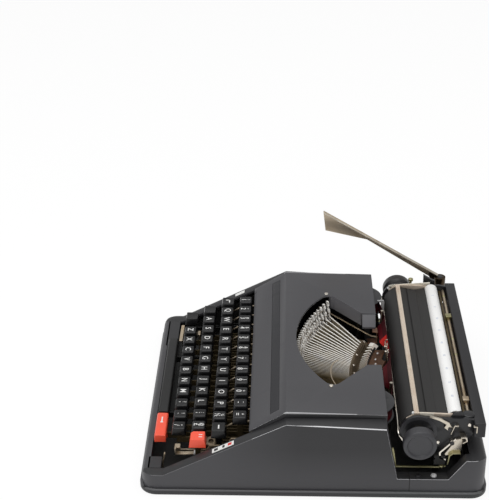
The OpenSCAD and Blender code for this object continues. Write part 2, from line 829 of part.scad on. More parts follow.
// Front bar from x0 to x1, rounded along its top edges
module front_bar(x0, x1) {
    edge = 2;
    translate([(x0 + x1) / 2, bar_y, bar_z - bar_h]) along_x(x1 - x0) {
        translate([-bar_d / 2, 0]) square([bar_d, bar_h - edge]);
        translate([-bar_d / 2 + edge, 0]) square([bar_d - 2 * edge, bar_h]);
        for (s = [-1, 1]) translate([s * (bar_d / 2 - edge), bar_h - edge]) circle(edge);
    }
}

module space_bar() color("dimgray") {
    sunk = 3;
    front_bar(bar_x0, bar_x1);
    for (i = [2.375, 7.625]) key_lever(first_x + key_pitch * i, bar_y, bar_z - sunk, bar_drop);
}

module red_bar_key() color("tomato") {
    sunk = 3;
    front_bar(bar_x1 + 2, red_bar_x1);
    key_lever(first_x + key_pitch * 9.375, bar_y, bar_z - sunk, bar_drop);
}

module plate_outline() {
    translate([platen_y, platen_z]) circle(platen_r + 1.2);
    polygon([
        [platen_y - 12, platen_z - 11], [platen_y - 6, feed_z - 5], [platen_y + 6, feed_z - 5],
        [platen_y + 10, bed_z], [platen_y + 34, bed_z],
        [rear_cover_y, rear_cover_z], [rear_cover_y, rear_cover_z + rear_cover_h],
        [rear_cover_y - 7, platen_z + 15.2], [platen_y + 20, platen_z + 15.2], [platen_y + 4, platen_z + 16]
    ]);
}

// End plates, bed with lips over the rail, pivot pins and the return lever's bracket
module carriage_frame() color("black") {
    lip_d = 4.7;
    lip_h = 8;
    pin_l = 6.5;
    outer = plate_x + plate_t;
    bracket_t = 3;
    difference() {
        union() {
            both_sides() translate([plate_x + plate_t / 2, 0, 0]) along_x(plate_t) plate_outline();
            translate([-plate_x, rail_y - pass_gap - lip_d, bed_z])
                cube([2 * plate_x, rail_d + 2 * (pass_gap + lip_d), bed_t]);
            for (y = [rail_y - pass_gap - lip_d, rail_y + rail_d + pass_gap])
                translate([-plate_x, y, bed_z - lip_h]) cube([2 * plate_x, lip_d, lip_h]);
            both_sides() rod_x(bail_pin_r, bail_arm_x - pass_gap, plate_x, bail_y, bail_z);
            both_sides() rod_x(pin_r, outer, outer + pin_l, release_y, release_z);
            rod_x(pin_r, outer, outer + pin_l / 2, paper_pin_y, paper_pin_z);
            translate([stud_x - 6, stud_y - 6, stud_z - bracket_t])
                cube([-plate_x - stud_x + 6, 9, bracket_t]);
            translate([stud_x, stud_y, stud_z]) cylinder(r = stud_r, h = 10);
        }
        rod_x(shaft_r + run_gap, -tall, tall, platen_y, platen_z);
        rod_x(feed_pin_r + run_gap, -tall, tall, platen_y, feed_z);
    }
}

module carriage_rear_cover() color("black") {
    sheet = 1.5;
    translate([0, rear_cover_y, rear_cover_z]) along_x(rear_cover_l) difference() {
        square([rear_cover_d, rear_cover_h]);
        translate([sheet, -1]) square([rear_cover_d - 2 * sheet, rear_cover_h - sheet + 1]);
    }
}

// Shelf behind the platen on a bent web that stands on the carriage's bed
module paper_table() color("dimgray") {
    sheet = 1.2;
    web_y = platen_y + 16.7;
    edge_y = platen_y + 13.6;
    difference() {
        along_x(2 * strip_hw) polygon([
            [web_y - 2.5, bed_top], [web_y, platen_z - 7.3], [web_y, platen_z + 11.6],
            [edge_y, platen_z + 11], [edge_y, platen_z + 11 + sheet],
            [arch_y - 5, platen_z + 14 + sheet], [arch_y - 5, platen_z + 14],
            [web_y + sheet, platen_z + 11.9], [web_y + sheet, platen_z - 7.8], [web_y - 2.5 + sheet, bed_top]
        ]);
        rod_x(arch_r + run_gap, -tall, tall, arch_y, arch_z);
    }
}

// White strip arched over the rear of the paper table
module paper_rest() color("white") {
    sheet = 1.2;
    translate([0, arch_y, arch_z]) along_x(2 * strip_hw) intersection() {
        difference() {
            circle(arch_r);
            circle(arch_r - sheet);
        }
        polygon([
            [-2 * arch_r, -0.8], [0, 0], [2 * arch_r, 4],
            [2 * arch_r, 2 * arch_r], [-2 * arch_r, 2 * arch_r]
        ]);
    }
}

// Curved sheet under the front of the platen
module paper_deflector() color("silver") {
    sheet = 0.8;
    gap = 0.65;
    far = 40;
    translate([0, platen_y, platen_z]) along_x(2 * plate_x) intersection() {
        difference() {
            circle(platen_r + gap + sheet);
            circle(platen_r + gap);
        }
        polygon([[0, 0], [-far, 1], [-far, -far], [-far * 0.62, -far]]);
    }
}

module margin_rail() color("silver") rod_x(rail_rod_r, -plate_x, plate_x, rail_rod_y, rail_rod_z);

module margin_stop(x) {
    stop_w = 7;
    difference() {
        translate([x - stop_w / 2, rail_rod_y - 3.2, rail_rod_z - 3.5]) cube([stop_w, 5.8, 8]);
        rod_x(rail_rod_r + run_gap, x - stop_w, x + stop_w, rail_rod_y, rail_rod_z);
    }
}

module margin_stop_left() color("silver") margin_stop(stop_left_x);

module margin_stop_right() color("silver") margin_stop(stop_right_x);

module feed_roller() color("black") {
    rod_x(feed_r, -plate_x + 6, plate_x - 6, platen_y, feed_z);
    rod_x(feed_pin_r, -plate_x - plate_t, plate_x + plate_t, platen_y, feed_z);
}

module platen() color("dimgray") difference() {
    rod_x(platen_r, -platen_l / 2, platen_l / 2, platen_y, platen_z);
    rod_x(shaft_r + run_gap, -tall, tall, platen_y, platen_z);
}

module platen_shaft() color("silver")
    rod_x(shaft_r, -knob_x - knob_l + 4, knob_x + knob_l - 4, platen_y, platen_z);

// Knob with a dished face, its inner end at x = 0
module knob() {
    bore = shaft_r + run_gap;
    rotate([0, 90, 0]) rotate_extrude() polygon([
        [bore, 0], [knob_r * 0.8, 0], [knob_r, 2.5], [knob_r, knob_l - 1.2], [knob_r - 1.2, knob_l],
        [knob_r - 3.2, knob_l], [knob_r - 4.7, knob_l - 1.8], [0, knob_l - 1.8],
        [0, knob_l - 3.8], [bore, knob_l - 3.8]
    ]);
}

module knob_right() color("black") translate([knob_x, platen_y, platen_z]) knob();

module knob_left() color("black") translate([-knob_x, platen_y, platen_z]) mirror([1, 0, 0]) knob();

module ratchet_wheel() color("silver") {
    teeth = 28;
    ratchet_r = 12;
    ratchet_t = 2.5;
    ratchet_x = -platen_l / 2 - pass_gap - ratchet_t / 2;
    translate([ratchet_x, platen_y, platen_z]) along_x(ratchet_t) difference() {
        polygon([for (i = [0:2 * teeth - 1]) let (r = i % 2 == 0 ? ratchet_r : ratchet_r - 1.6)
            [r * cos(i * 180 / teeth), r * sin(i * 180 / teeth)]]);
        circle(shaft_r + run_gap);
    }
}

// Flat bar across the platen on two arms that turn on studs inside the end plates
module paper_bail() color("silver") {
    bar_z0 = platen_z + platen_r + pass_gap;
    bar_z1 = bar_z0 + 1.6;
    hub_r = 4;
    front = platen_y - 4;
    finger = 10;
    x1 = bail_arm_x + bail_arm_t;
    difference() {
        union() {
            translate([-x1, front, bar_z0]) cube([2 * x1, bail_w, bar_z1 - bar_z0]);
            both_sides() translate([bail_arm_x + bail_arm_t / 2, 0, 0]) along_x(bail_arm_t) {
                translate([bail_y, bail_z]) circle(hub_r);
                polygon([
                    [front, bar_z0], [front, bar_z1], [platen_y + 6, bar_z1],
                    [bail_y + 1.2, bail_z + 3.8], [bail_y - 1.2, bail_z - 3.8]
                ]);
                polygon([
                    [front + 2, bar_z1], [front + 2, bar_z0 - 1.5],
                    [platen_y - finger, bar_z0 - 6.5], [platen_y - finger - 1, bar_z0 - 4.5]
                ]);
            }
        }
        both_sides() rod_x(bail_pin_r + run_gap, bail_arm_x - 1, bail_arm_x + 3, bail_y, bail_z);
    }
}

// Lever at the right end that frees the paper, bent forward over the end plate
module paper_release_lever() color("silver") {
    sheet = 1.5;
    x0 = plate_x + plate_t + pass_gap;
    translate([x0 + sheet / 2, paper_pin_y, paper_pin_z]) along_x(sheet) difference() {
        union() {
            circle(4.5);
            polygon([[-3.5, 0], [3.5, 0], [1.8, 10.5], [-18, 16], [-19.2, 12.6], [-4.2, 7.2]]);
        }
        circle(pin_r + run_gap);
    }
}

// Cranked lever that lifts the carriage out of its escapement
module release_lever() {
    sheet = 1.5;
    x0 = plate_x + plate_t + 4;
    translate([x0 + sheet / 2, release_y, release_z]) along_x(sheet) difference() {
        union() {
            circle(4.5);
            polygon([[1.8, 5.6], [-9.6, -9.4], [-9.9, -12], [-7.6, -12.3], [-7.2, -10.2], [3.8, 4.2]]);
        }
        circle(pin_r + run_gap);
    }
}

module carriage_release_right() color("silver") release_lever();

module carriage_release_left() color("silver") mirror([1, 0, 0]) release_lever();

// Long pressed lever that returns the carriage, on an upright stud
module return_lever() color("silver") {
    hub_r = 6;
    hub_h = 9.5;
    root_z = stud_z + 11;
    tip_z = root_z + return_rise;
    translate([stud_x, stud_y, 0]) difference() {
        union() {
            translate([0, 0, stud_z + pass_gap]) cylinder(r = hub_r, h = hub_h);
            rotate([90, 0, return_yaw]) linear_extrude(height = return_t, center = true) polygon([
                [-4, stud_z + 2], [-4, root_z - 1.5], [0, root_z], [return_l - 2, tip_z],
                [return_l - 5, tip_z - 22.7], [return_l * 0.61, tip_z - 24.8],
                [12, root_z - 2.5], [7, stud_z + 2]
            ]);
        }
        cylinder(r = stud_r + run_gap, h = tall);
    }
}

base_pan();
rubber_feet();
front_housing();
rear_housing();
casing_screws();
rim_plates();
side_frames();
cross_frame();
fulcrum_rod();
carriage_rail();
spool_shafts();
cover_hinge_pins();
type_segment();
typebars();
typebar_rest();
ribbon();
ribbon_cover();
name_band();
centre_typebar();
ribbon_vibrator();
spool_left();
spool_right();
mainspring_drum();
number_row_caps();
number_row_levers();
upper_row_caps();
upper_row_levers();
home_row_caps();
home_row_levers();
lower_row_caps();
lower_row_levers();
centre_key_cap();
centre_key_lever();
margin_release_key();
right_end_key();
shift_lock_key();
left_shift_key();
right_shift_lever();
red_row_key();
red_bar_key();
space_bar();
carriage_frame();
carriage_rear_cover();
paper_table();
paper_rest();
paper_deflector();
margin_rail();
margin_stop_left();
margin_stop_right();
feed_roller();
platen();
platen_shaft();
knob_left();
knob_right();
ratchet_wheel();
paper_bail();
paper_release_lever();
carriage_release_left();
carriage_release_right();
return_lever();
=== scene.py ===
import json
import math

import bmesh
import bpy
from mathutils import Euler, Matrix, Vector


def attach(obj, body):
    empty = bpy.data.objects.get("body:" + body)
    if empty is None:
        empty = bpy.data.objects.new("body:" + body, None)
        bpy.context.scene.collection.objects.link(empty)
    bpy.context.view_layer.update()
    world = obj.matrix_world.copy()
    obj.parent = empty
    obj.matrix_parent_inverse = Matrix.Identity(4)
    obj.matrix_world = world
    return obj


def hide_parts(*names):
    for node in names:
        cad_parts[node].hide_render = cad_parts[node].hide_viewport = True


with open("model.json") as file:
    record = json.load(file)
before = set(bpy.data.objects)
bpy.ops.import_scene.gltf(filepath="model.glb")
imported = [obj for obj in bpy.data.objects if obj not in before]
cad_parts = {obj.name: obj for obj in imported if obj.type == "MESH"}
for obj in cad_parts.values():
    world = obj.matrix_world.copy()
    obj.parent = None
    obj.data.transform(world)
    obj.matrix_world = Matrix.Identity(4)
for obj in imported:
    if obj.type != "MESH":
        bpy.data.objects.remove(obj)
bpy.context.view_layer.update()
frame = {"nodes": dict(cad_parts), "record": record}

MM = 0.001
NODES = frame["nodes"]
BODY_OF = {n: b for b, ns in frame["record"]["behaviour"]["bodies"].items() for n in ns}
SCENE = bpy.context.scene


# Shader values and finishes

def sum_node(operation, swapped=False):
    """A sum for Value that adds one Math node; a swapped one takes the other number first."""
    def add_node(value, other=0.0):
        first, second = (other, value) if swapped else (value, other)
        return value.finish.node("ShaderNodeMath", {"operation": operation}, {0: first, 1: second})
    return add_node


class Value:
    """One output in a finish's node tree; sums on it add Math nodes."""

    __add__, __radd__ = sum_node("ADD"), sum_node("ADD", True)
    __sub__, __rsub__ = sum_node("SUBTRACT"), sum_node("SUBTRACT", True)
    __mul__, __rmul__ = sum_node("MULTIPLY"), sum_node("MULTIPLY", True)
    __mod__ = sum_node("FLOORED_MODULO")
    __lt__, __gt__ = sum_node("LESS_THAN"), sum_node("GREATER_THAN")
    __abs__ = sum_node("ABSOLUTE")

    def __init__(self, finish, socket):
        self.finish = finish
        self.socket = socket


class Finish:
    """A material on the Principled shader, with one method that adds any node."""

    def __init__(self, name, colour=(0.5, 0.5, 0.5), roughness=0.5, metallic=0.0, **fixed):
        self.material = bpy.data.materials.new(name)
        self.material.use_nodes = True
        self.tree = self.material.node_tree
        self.shader = self.tree.nodes["Principled BSDF"]
        self.feed("Base Color", colour)
        self.feed("Roughness", roughness)
        self.feed("Metallic", metallic)
        for socket, value in fixed.items():
            self.feed(socket.replace("_", " "), value)

    def node(self, kind, settings=None, sockets=None, output=0):
        made = self.tree.nodes.new(kind)
        for key, value in (settings or {}).items():
            if key == "stops":
                ramp = made.color_ramp
                while len(ramp.elements) < len(value):
                    ramp.elements.new(0.5)
                for element, (at, colour) in zip(ramp.elements, value):
                    element.position = at
                    element.color = (*colour, 1.0)
            else:
                setattr(made, key, value)
        for key, value in (sockets or {}).items():
            self._join(made.inputs[key], value)
        return Value(self, made.outputs[output])

    def _join(self, socket, value):
        if isinstance(value, Value):
            self.tree.links.new(value.socket, socket)
        elif isinstance(value, tuple) and len(value) == 3 and len(socket.default_value) == 4:
            socket.default_value = (*value, 1.0)
        else:
            socket.default_value = value

    def feed(self, name, value):
        self._join(self.shader.inputs[name], value)
        return self

    def spot(self):
        return self.node("ShaderNodeTexCoord", output="Object")

    def axis(self, name):
        return self.node("ShaderNodeSeparateXYZ", None, {0: self.spot()}, output=name)

    def noise(self, scale, detail=3.0, stretch=(1.0, 1.0, 1.0)):
        place = self.node("ShaderNodeMapping", None, {"Vector": self.spot(), "Scale": stretch})
        return self.node("ShaderNodeTexNoise", None, {
            "Vector": place, "Scale": scale, "Detail": detail, "Roughness": 0.55})

    def ramp(self, value, *stops):
        return self.node("ShaderNodeValToRGB", {"stops": [(at, (v, v, v)) for at, v in stops]}, {0: value})

    def blend(self, factor, a, b):
        return self.node("ShaderNodeMix", {"data_type": "RGBA"}, {0: factor, 6: a, 7: b}, output=2)

    def bump(self, height, depth, strength=1.0):
        """Relief from a height, its depth in millimetres."""
        return self.feed("Normal", self.node("ShaderNodeBump", None, {
            "Height": height, "Distance": depth * MM, "Strength": strength}))


def paint(name, dark, light, rough, grain=1400.0):
    """Sprayed paint: a fine orange peel, faint cloudiness and a few dull rub marks."""
    f = Finish(name)
    cloud = f.noise(14.0, 4.0)
    rubbed = f.ramp(f.noise(70.0, 5.0, (1.0, 0.25, 1.0)), (0.58, 0.0), (0.75, 1.0))
    f.tone = f.blend(cloud * 0.8 + rubbed * 0.25, dark, light)
    f.feed("Base Color", f.tone)
    f.feed("Roughness", rough + cloud * 0.06 + rubbed * 0.08)
    f.bump(f.noise(grain, 2.0), 0.03, 0.6)
    return f


def facing(f, axis):
    """How far a face looks along an axis."""
    normal = f.node("ShaderNodeTexCoord", output="Normal")
    return f.node("ShaderNodeSeparateXYZ", None, {0: normal}, output=axis)


# Places where the casing's paint carries painted shade and painted highlights, and the key well it paints
# black, in metres
WELL_X, WELL_FRONT, WELL_REAR, WELL_TOP = 0.13, -0.138, -0.05, 0.05
RIM_X, RECESS_Y, RECESS_TOP = 0.1297, 0.119, 0.045
TAB_INNER, TAB_OUTER, TAB_Y, COVER_TOP = 0.0405, 0.0432, 0.05, 0.0805
SLOPE_TOP_Y, COVER_FRONT_Y = -0.055, -0.035
MOUTH_X, MOUTH_Z, SIDE_MIDDLE_Y = 0.1, 0.05, 0.03
BLACK_INSIDE = (0.008, 0.008, 0.008)


def casing_paint(name, edge_x):
    """Case paint with painted light: painted shade on the rim tops, the recess floor (partly darker paint
    there) and the middle of the side walls; painted highlights along the outer edges, on a tab, along the
    cover's side and on the mouth's walls facing plus X; black inside the key well.
    """
    f = paint(name, (0.05, 0.0495, 0.054), (0.064, 0.063, 0.069), 0.42)
    turn_x, up = facing(f, "X"), facing(f, "Z")
    side_x, y, z = f.axis("X"), f.axis("Y"), f.axis("Z")
    across, x = abs(turn_x), abs(side_x)
    inside = (x < WELL_X) * (y > WELL_FRONT) * (y < WELL_REAR) * (z < WELL_TOP)
    # Painted shade on the rim tops and the recess floor; the recess paint is also darker.
    shade = (x > RIM_X) * (up > 0.4) + (y > RECESS_Y) * (up > 0.3) * (z < RECESS_TOP)
    # Painted highlight along the rounded outer edges, faint on the front slope and stronger behind it.
    edge_highlight = (across > 0.2) * (up > 0.2) * (x > edge_x) * (0.25 + (y > SLOPE_TOP_Y) * 0.65)
    # Painted highlight along the edges of a tab at the far side of the mouth.
    tab_highlight = (side_x < -TAB_INNER) * (x < TAB_OUTER) * (y > TAB_Y) * (z > COVER_TOP)
    # Painted light on walls facing plus X in the mouth, weaker towards the rear.
    mouth_wall_light = (turn_x > 0.5) * (x < MOUTH_X) * (z > MOUTH_Z) * (1.0 - (y > TAB_Y) * 0.55)
    # Painted highlight along the cover's side edge.
    cover_edge_highlight = (x > edge_x) * (x < RIM_X) * (z > COVER_TOP + 0.0001) * (y > COVER_FRONT_Y)
    # Painted shade on the side walls, deepest near the middle of their length and higher up.
    side_shade_from_middle = f.ramp(abs(y - SIDE_MIDDLE_Y) * 8.0, (0.35, 0.9), (1.0, 0.0))
    side = (across > 0.8) * side_shade_from_middle * f.ramp(z * 10.0, (0.2, 0.3), (0.5, 1.0))
    tone = f.blend(shade + side, f.tone, (0.02, 0.0198, 0.0215))
    tone = f.blend(mouth_wall_light, tone, (0.13, 0.128, 0.138))
    tone = f.blend(inside, tone, BLACK_INSIDE)
    f.feed("Base Color", f.blend(edge_highlight + tab_highlight * 0.3 + cover_edge_highlight * 0.55, tone, (0.75, 0.75, 0.77)))
    return f


def base_paint():
    """Base paint: painted light on the lip over painted shadow on the foot near the floor, and a black inside.
    """
    f = paint("base_paint", (0.05, 0.0495, 0.053), (0.062, 0.062, 0.066), 0.4)
    x, y, z = abs(f.axis("X")), abs(f.axis("Y")), f.axis("Z")
    lip_x, foot_top, inner_x, inner_y = 0.1385, 0.0042, 0.131, 0.15
    # Painted highlight along the top of the outer lip.
    lip_highlight = (x > lip_x) * (facing(f, "Z") > 0.25) * 0.7
    # A lighter band above the foot as painted light, and painted shadow on the foot near the floor.
    lip_light_foot_shadow = f.blend(z > foot_top, (0.02, 0.02, 0.022), (0.085, 0.085, 0.09))
    lit = f.blend(lip_highlight, lip_light_foot_shadow, (0.16, 0.16, 0.165))
    f.feed("Base Color", f.blend((x < inner_x) * (y < inner_y), lit, BLACK_INSIDE))
    return f


def plated(name, dark, light, rough, metallic=1.0):
    """Plated sheet: drawn streaks, a warm tarnish in patches and small dull spots."""
    f = Finish(name, metallic=metallic)
    lines = f.noise(60.0, 3.0, (1.0, 40.0, 40.0))
    tarnish = f.ramp(f.noise(45.0, 5.0), (0.45, 0.0), (0.72, 1.0))
    f.tone = f.blend(tarnish * 0.7 + lines * 0.3, light, dark)
    f.feed("Base Color", f.tone)
    f.feed("Roughness", rough + lines * 0.12 + tarnish * 0.12)
    f.bump(lines, 0.02, 0.5)
    return f


def moulded(name, colour, rough, spread=0.35):
    """Moulded plastic: a faint grain, and tops worn a little smoother in places."""
    f = Finish(name, colour)
    worn = f.noise(120.0, 3.0)
    pale = tuple(min(1.0, c * (1.0 + spread) + 0.004) for c in colour)
    f.feed("Base Color", f.blend(worn, colour, pale))
    f.feed("Roughness", rough + worn * 0.14)
    f.bump(f.noise(2600.0, 2.0), 0.015, 0.5)
    return f


def rubber(name, dark, light):
    """Ground rubber: fine turned lines round the axis and a dusty bloom."""
    f = Finish(name, Specular_IOR_Level=0.35)
    bloom = f.noise(35.0, 5.0)
    lines = f.noise(900.0, 2.0, (1.0, 0.05, 0.05))
    f.feed("Base Color", f.blend(bloom * 0.7 + lines * 0.3, dark, light))
    f.feed("Roughness", 0.5 + bloom * 0.2)
    f.bump(lines, 0.04, 0.5)
    return f


CASING = casing_paint("casing_paint", 0.1403)
COVER = casing_paint("cover_paint", 0.1286)
RIM = paint("rim_paint", (0.022, 0.0218, 0.024), (0.028, 0.0278, 0.03), 0.45)
BASE = base_paint()
ENAMEL = paint("black_enamel", (0.012, 0.012, 0.0135), (0.02, 0.02, 0.022), 0.3, 900.0)
DARK_COVER = paint("rear_cover_paint", (0.009, 0.009, 0.0105), (0.014, 0.0138, 0.016), 0.45)
BAND = paint("band_lacquer", (0.02, 0.02, 0.023), (0.027, 0.027, 0.031), 0.6, 700.0)
INSIDE = paint("inside_black", (0.006, 0.006, 0.006), (0.012, 0.011, 0.01), 0.6)
NICKEL = plated("nickel_plate", (0.42, 0.36, 0.27), (0.72, 0.66, 0.56), 0.2)
BRIGHT = plated("bright_nickel", (0.6, 0.53, 0.43), (0.86, 0.81, 0.73), 0.14)
STEEL = plated("worn_steel", (0.3, 0.26, 0.2), (0.6, 0.55, 0.46), 0.24)
SEGMENT = plated("segment_bronze", (0.1, 0.075, 0.048), (0.27, 0.21, 0.14), 0.34, 0.5)
KEY_BLACK = moulded("key_black", (0.004, 0.004, 0.0045), 0.2, 0.5).feed("Specular IOR Level", 0.4)
LEVER = plated("lever_brown", (0.05, 0.037, 0.018), (0.115, 0.086, 0.042), 0.4, 0.6)
CREAM = plated("cream_plate", (0.62, 0.56, 0.46), (0.82, 0.78, 0.68), 0.35, 0.2)
COPPER = plated("copper_plate", (0.09, 0.04, 0.024), (0.3, 0.17, 0.11), 0.3)
KEY_RED = moulded("key_red", (0.9, 0.1, 0.05), 0.24, 0.12)
BAR_GREY = moulded("space_bar_grey", (0.004, 0.004, 0.004), 0.42, 0.3)
KNOB = moulded("knob_black", (0.034, 0.034, 0.038), 0.34, 0.35)
# A darker copy of the knob's black for the far knob: painted shade.
KNOB_SHADED = moulded("knob_black_shaded", (0.012, 0.011, 0.012), 0.3, 0.35)
BAIL = plated("bail_nickel", (0.56, 0.44, 0.33), (0.78, 0.68, 0.57), 0.3, 0.45)
PALE = plated("pale_plate", (0.5, 0.5, 0.5), (0.66, 0.66, 0.66), 0.35, 0.3)
SPOOL = moulded("spool_black", (0.02, 0.02, 0.022), 0.34, 0.3)
PLATEN = rubber("platen_rubber", (0.018, 0.0175, 0.0175), (0.03, 0.029, 0.028))
FOOT = rubber("foot_rubber", (0.015, 0.015, 0.015), (0.025, 0.025, 0.025))
OLIVE = plated("zinc_plate", (0.2, 0.18, 0.075), (0.5, 0.47, 0.27), 0.26)
TAN = plated("tarnished_nickel", (0.36, 0.27, 0.17), (0.66, 0.56, 0.43), 0.3)
ARM = plated("return_arm_plate", (0.36, 0.27, 0.17), (0.66, 0.56, 0.43), 0.3)
ARM.feed("Base Color", ARM.blend(ARM.axis("Y") > 0.128, ARM.tone, (0.06, 0.042, 0.026)))
GLASS_RED = moulded("marker_red", (0.62, 0.035, 0.03), 0.25, 0.15)
MARKER_BLACK = moulded("marker_black", (0.012, 0.012, 0.013), 0.3)
LEGEND = Finish("legend_white", (0.82, 0.82, 0.8), 0.45)
LEGEND.feed("Base Color", LEGEND.blend(LEGEND.noise(600.0), (0.74, 0.74, 0.72), (0.86, 0.86, 0.84)))


def typebar_finish(name, side, side_worn, tips=0.0):
    """Painted light on bars and slugs: painted highlights on upward faces, painted dark brown shade on the bars
    towards plus X, and elsewhere the side colours with random worn patches.
    """
    f = Finish(name)
    # Painted highlight on the upward faces.
    top = f.ramp(facing(f, "Z"), (0.3, 0.0), (0.75, 1.0))
    slug_top = f.axis("Z") > 0.0705
    # Painted shade: the bars towards plus X turn dark brown and metallic, all but the slug tops.
    plus_x_shade = f.ramp(f.axis("X") * 20.0 + 0.5, (0.0, 0.0), (0.8, 1.0)) * (1.0 - tips * slug_top)
    blade = 1.0 - tips
    worn = f.ramp(f.noise(90.0 + 260.0 * tips, 4.0), (0.5 - 0.16 * blade, 0.0), (0.58 + 0.1 * blade, 1.0))
    top_highlight_colour = f.blend(worn, (0.99, 0.97, 0.92), (0.9, 0.86, 0.78))
    lit = f.blend(top, f.blend(worn, side, side_worn), top_highlight_colour)
    shade_brown = f.blend(worn, (0.06, 0.042, 0.018), (0.18, 0.13, 0.06))
    f.feed("Base Color", f.blend(plus_x_shade, lit, shade_brown))
    f.feed("Metallic", plus_x_shade * 0.9)
    f.feed("Roughness", 0.36 + worn * 0.08)
    return f


def ribbon_finish():
    """Inked cloth: a dark upper half, a red lower half painted dark as shade but for a lit stretch near the
    printing point, and a fine weave.
    """
    f = Finish("inked_ribbon", roughness=0.7, Specular_IOR_Level=0.2)
    x, z = f.axis("X"), f.axis("Z")
    middle, lit_top, lit_from, lit_to = 0.0655, 0.069, -0.026, -0.001
    weave = f.noise(1800.0, 1.0)
    inked = f.blend(z > middle, (0.1, 0.003, 0.008), (0.05, 0.003, 0.006))
    # Painted light: a stretch of the red half near the printing point shows bright red, while the rest stays
    # dark as painted shade.
    lit_stretch = (x > lit_from) * (x < lit_to) * (z < lit_top)
    inked = f.blend(lit_stretch, inked, (0.6, 0.02, 0.015))
    f.feed("Base Color", f.blend(weave * 0.5, inked, (0.012, 0.004, 0.004)))
    f.bump(weave, 0.06)
    return f


def scale_finish():
    """White enamelled strip with a tick for every letter space, longer at each fifth."""
    f = Finish("scale_white", roughness=0.34)
    x, y = f.axis("X"), f.axis("Y")
    step, half_tick, tick_start, short_end, long_end = 0.0023, 0.00022, 0.1218, 0.1232, 0.1242
    def ticks(every, reach):
        along = abs((x + 10.0) % (step * every) - step * every / 2)
        return (along > step * every / 2 - half_tick) * (y < reach)
    marks = (ticks(1, short_end) + ticks(5, long_end)) * (y > tick_start)
    soil = f.noise(40.0, 4.0)
    white = f.blend(soil * 0.5, (0.95, 0.95, 0.94), (0.86, 0.85, 0.83))
    f.feed("Base Color", f.blend(f.ramp(marks, (0.0, 0.0), (1.0, 0.14)), white, (0.05, 0.05, 0.06)))
    return f


TYPEBAR = typebar_finish("typebar_steel", (0.16, 0.13, 0.085), (0.34, 0.29, 0.2))
RIBBON = ribbon_finish()
SCALE = scale_finish()
# Slugs: their faces painted near white as a painted highlight, with random dark brown patches.
TYPE_METAL = typebar_finish("type_metal", (1.0, 0.98, 0.94), (0.2, 0.16, 0.11), 1.0)
COMB = typebar_finish("comb_steel", (0.62, 0.55, 0.46), (0.8, 0.72, 0.62))
SCALE_INK = moulded("scale_ink", (0.5, 0.54, 0.62), 0.5)


# Making pieces

def dress(obj, body, finish, stands_for=()):
    """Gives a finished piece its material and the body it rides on."""
    obj.data.materials.clear()
    obj.data.materials.append(finish.material)
    SCENE.collection.objects.link(obj)
    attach(obj, body)
    if stands_for:
        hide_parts(*stands_for)
    return obj


def mesh_piece(name, bm, body, finish, stands_for=(), smooth=35):
    mesh = settled_mesh(name, bm, smooth)
    return dress(bpy.data.objects.new(name, mesh), body, finish, stands_for)


def settled_mesh(name, bm, smooth=35):
    """A mesh of a shape, smooth up to an angle in degrees."""
    mesh = bpy.data.meshes.new(name)
    bm.to_mesh(mesh)
    bm.free()
    mesh.shade_smooth()
    mesh.set_sharp_from_angle(angle=math.radians(smooth))
    return mesh


def node_copy(node):
    """A CAD node's mesh with its loose triangles merged into flat faces."""
    bm = bmesh.new()
    bm.from_mesh(NODES[node].data)
    bmesh.ops.remove_doubles(bm, verts=bm.verts, dist=2e-6)
    bmesh.ops.dissolve_limit(
        bm, angle_limit=math.radians(0.4), verts=bm.verts, edges=bm.edges)
    return bm


def ease(bm, width, segments=2, angle=32.0):
    """Rounds the edges sharper than the angle, by a width in millimetres."""
    sharp = [e for e in bm.edges
             if len(e.link_faces) == 2 and e.calc_face_angle(0.0) > math.radians(angle)]
    bmesh.ops.bevel(
        bm, geom=sharp, offset=width * MM, offset_type="OFFSET", segments=segments,
        profile=0.5, affect="EDGES", clamp_overlap=True)
    return bm


def stand_in(node, bm, finish, ending="_eased", smooth=40):
    """A shape that takes a CAD node's place and body."""
    return mesh_piece(node + ending, bm, BODY_OF[node], finish, (node,), smooth)


def eased(node, width, finish, segments=2, angle=32.0):
    """A CAD node with rounded edges, in its place."""
    return stand_in(node, ease(node_copy(node), width, segments, angle), finish)


def paint_node(node, finish):
    """A CAD node whose shape is right keeps it and takes a finish."""
    NODES[node].data.materials.clear()
    NODES[node].data.materials.append(finish.material)


# Shapes of new pieces, in millimetres

ACROSS, UPRIGHT, PLAIN, LEVEL = (1, 0, 0), (0, 0, 1), (1.0, 1.0, 1.0), (0.0, 0.0, 0.0)
SIDES = (-1, 1)


def clamped(share):
    return max(0.0, min(1.0, share))


def block(bm, low, high, inset=0.0):
    """A block between two corners; its top may be drawn in on all sides."""
    (x0, y0, z0), (x1, y1, z1) = low, high
    i = inset
    corners = [(x0, y0, z0), (x1, y0, z0), (x1, y1, z0), (x0, y1, z0),
               (x0 + i, y0 + i, z1), (x1 - i, y0 + i, z1), (x1 - i, y1 - i, z1), (x0 + i, y1 - i, z1)]
    v = [bm.verts.new(Vector(c) * MM) for c in corners]
    for f in ((3, 2, 1, 0), (4, 5, 6, 7), (0, 1, 5, 4), (1, 2, 6, 5), (2, 3, 7, 6), (3, 0, 4, 7)):
        bm.faces.new([v[k] for k in f])
    return v


def skin(bm, rings, closed=False):
    """Faces from each ring of points to the next, with capped ends unless the rings close up."""
    faces = [] if closed else [bm.faces.new(rings[0][::-1]), bm.faces.new(rings[-1])]
    for a, b in zip(rings, rings[1:] + rings[:1] if closed else rings[1:]):
        for k in range(len(a)):
            n = (k + 1) % len(a)
            faces.append(bm.faces.new([a[k], a[n], b[n], b[k]]))
    bmesh.ops.recalc_face_normals(bm, faces=faces)


def plate(bm, outline, low, high):
    """A flat plate of an outline of (y, z) points, from one x to another."""
    skin(bm, [[bm.verts.new(Vector((x, *p)) * MM) for p in outline] for x in (low, high)])


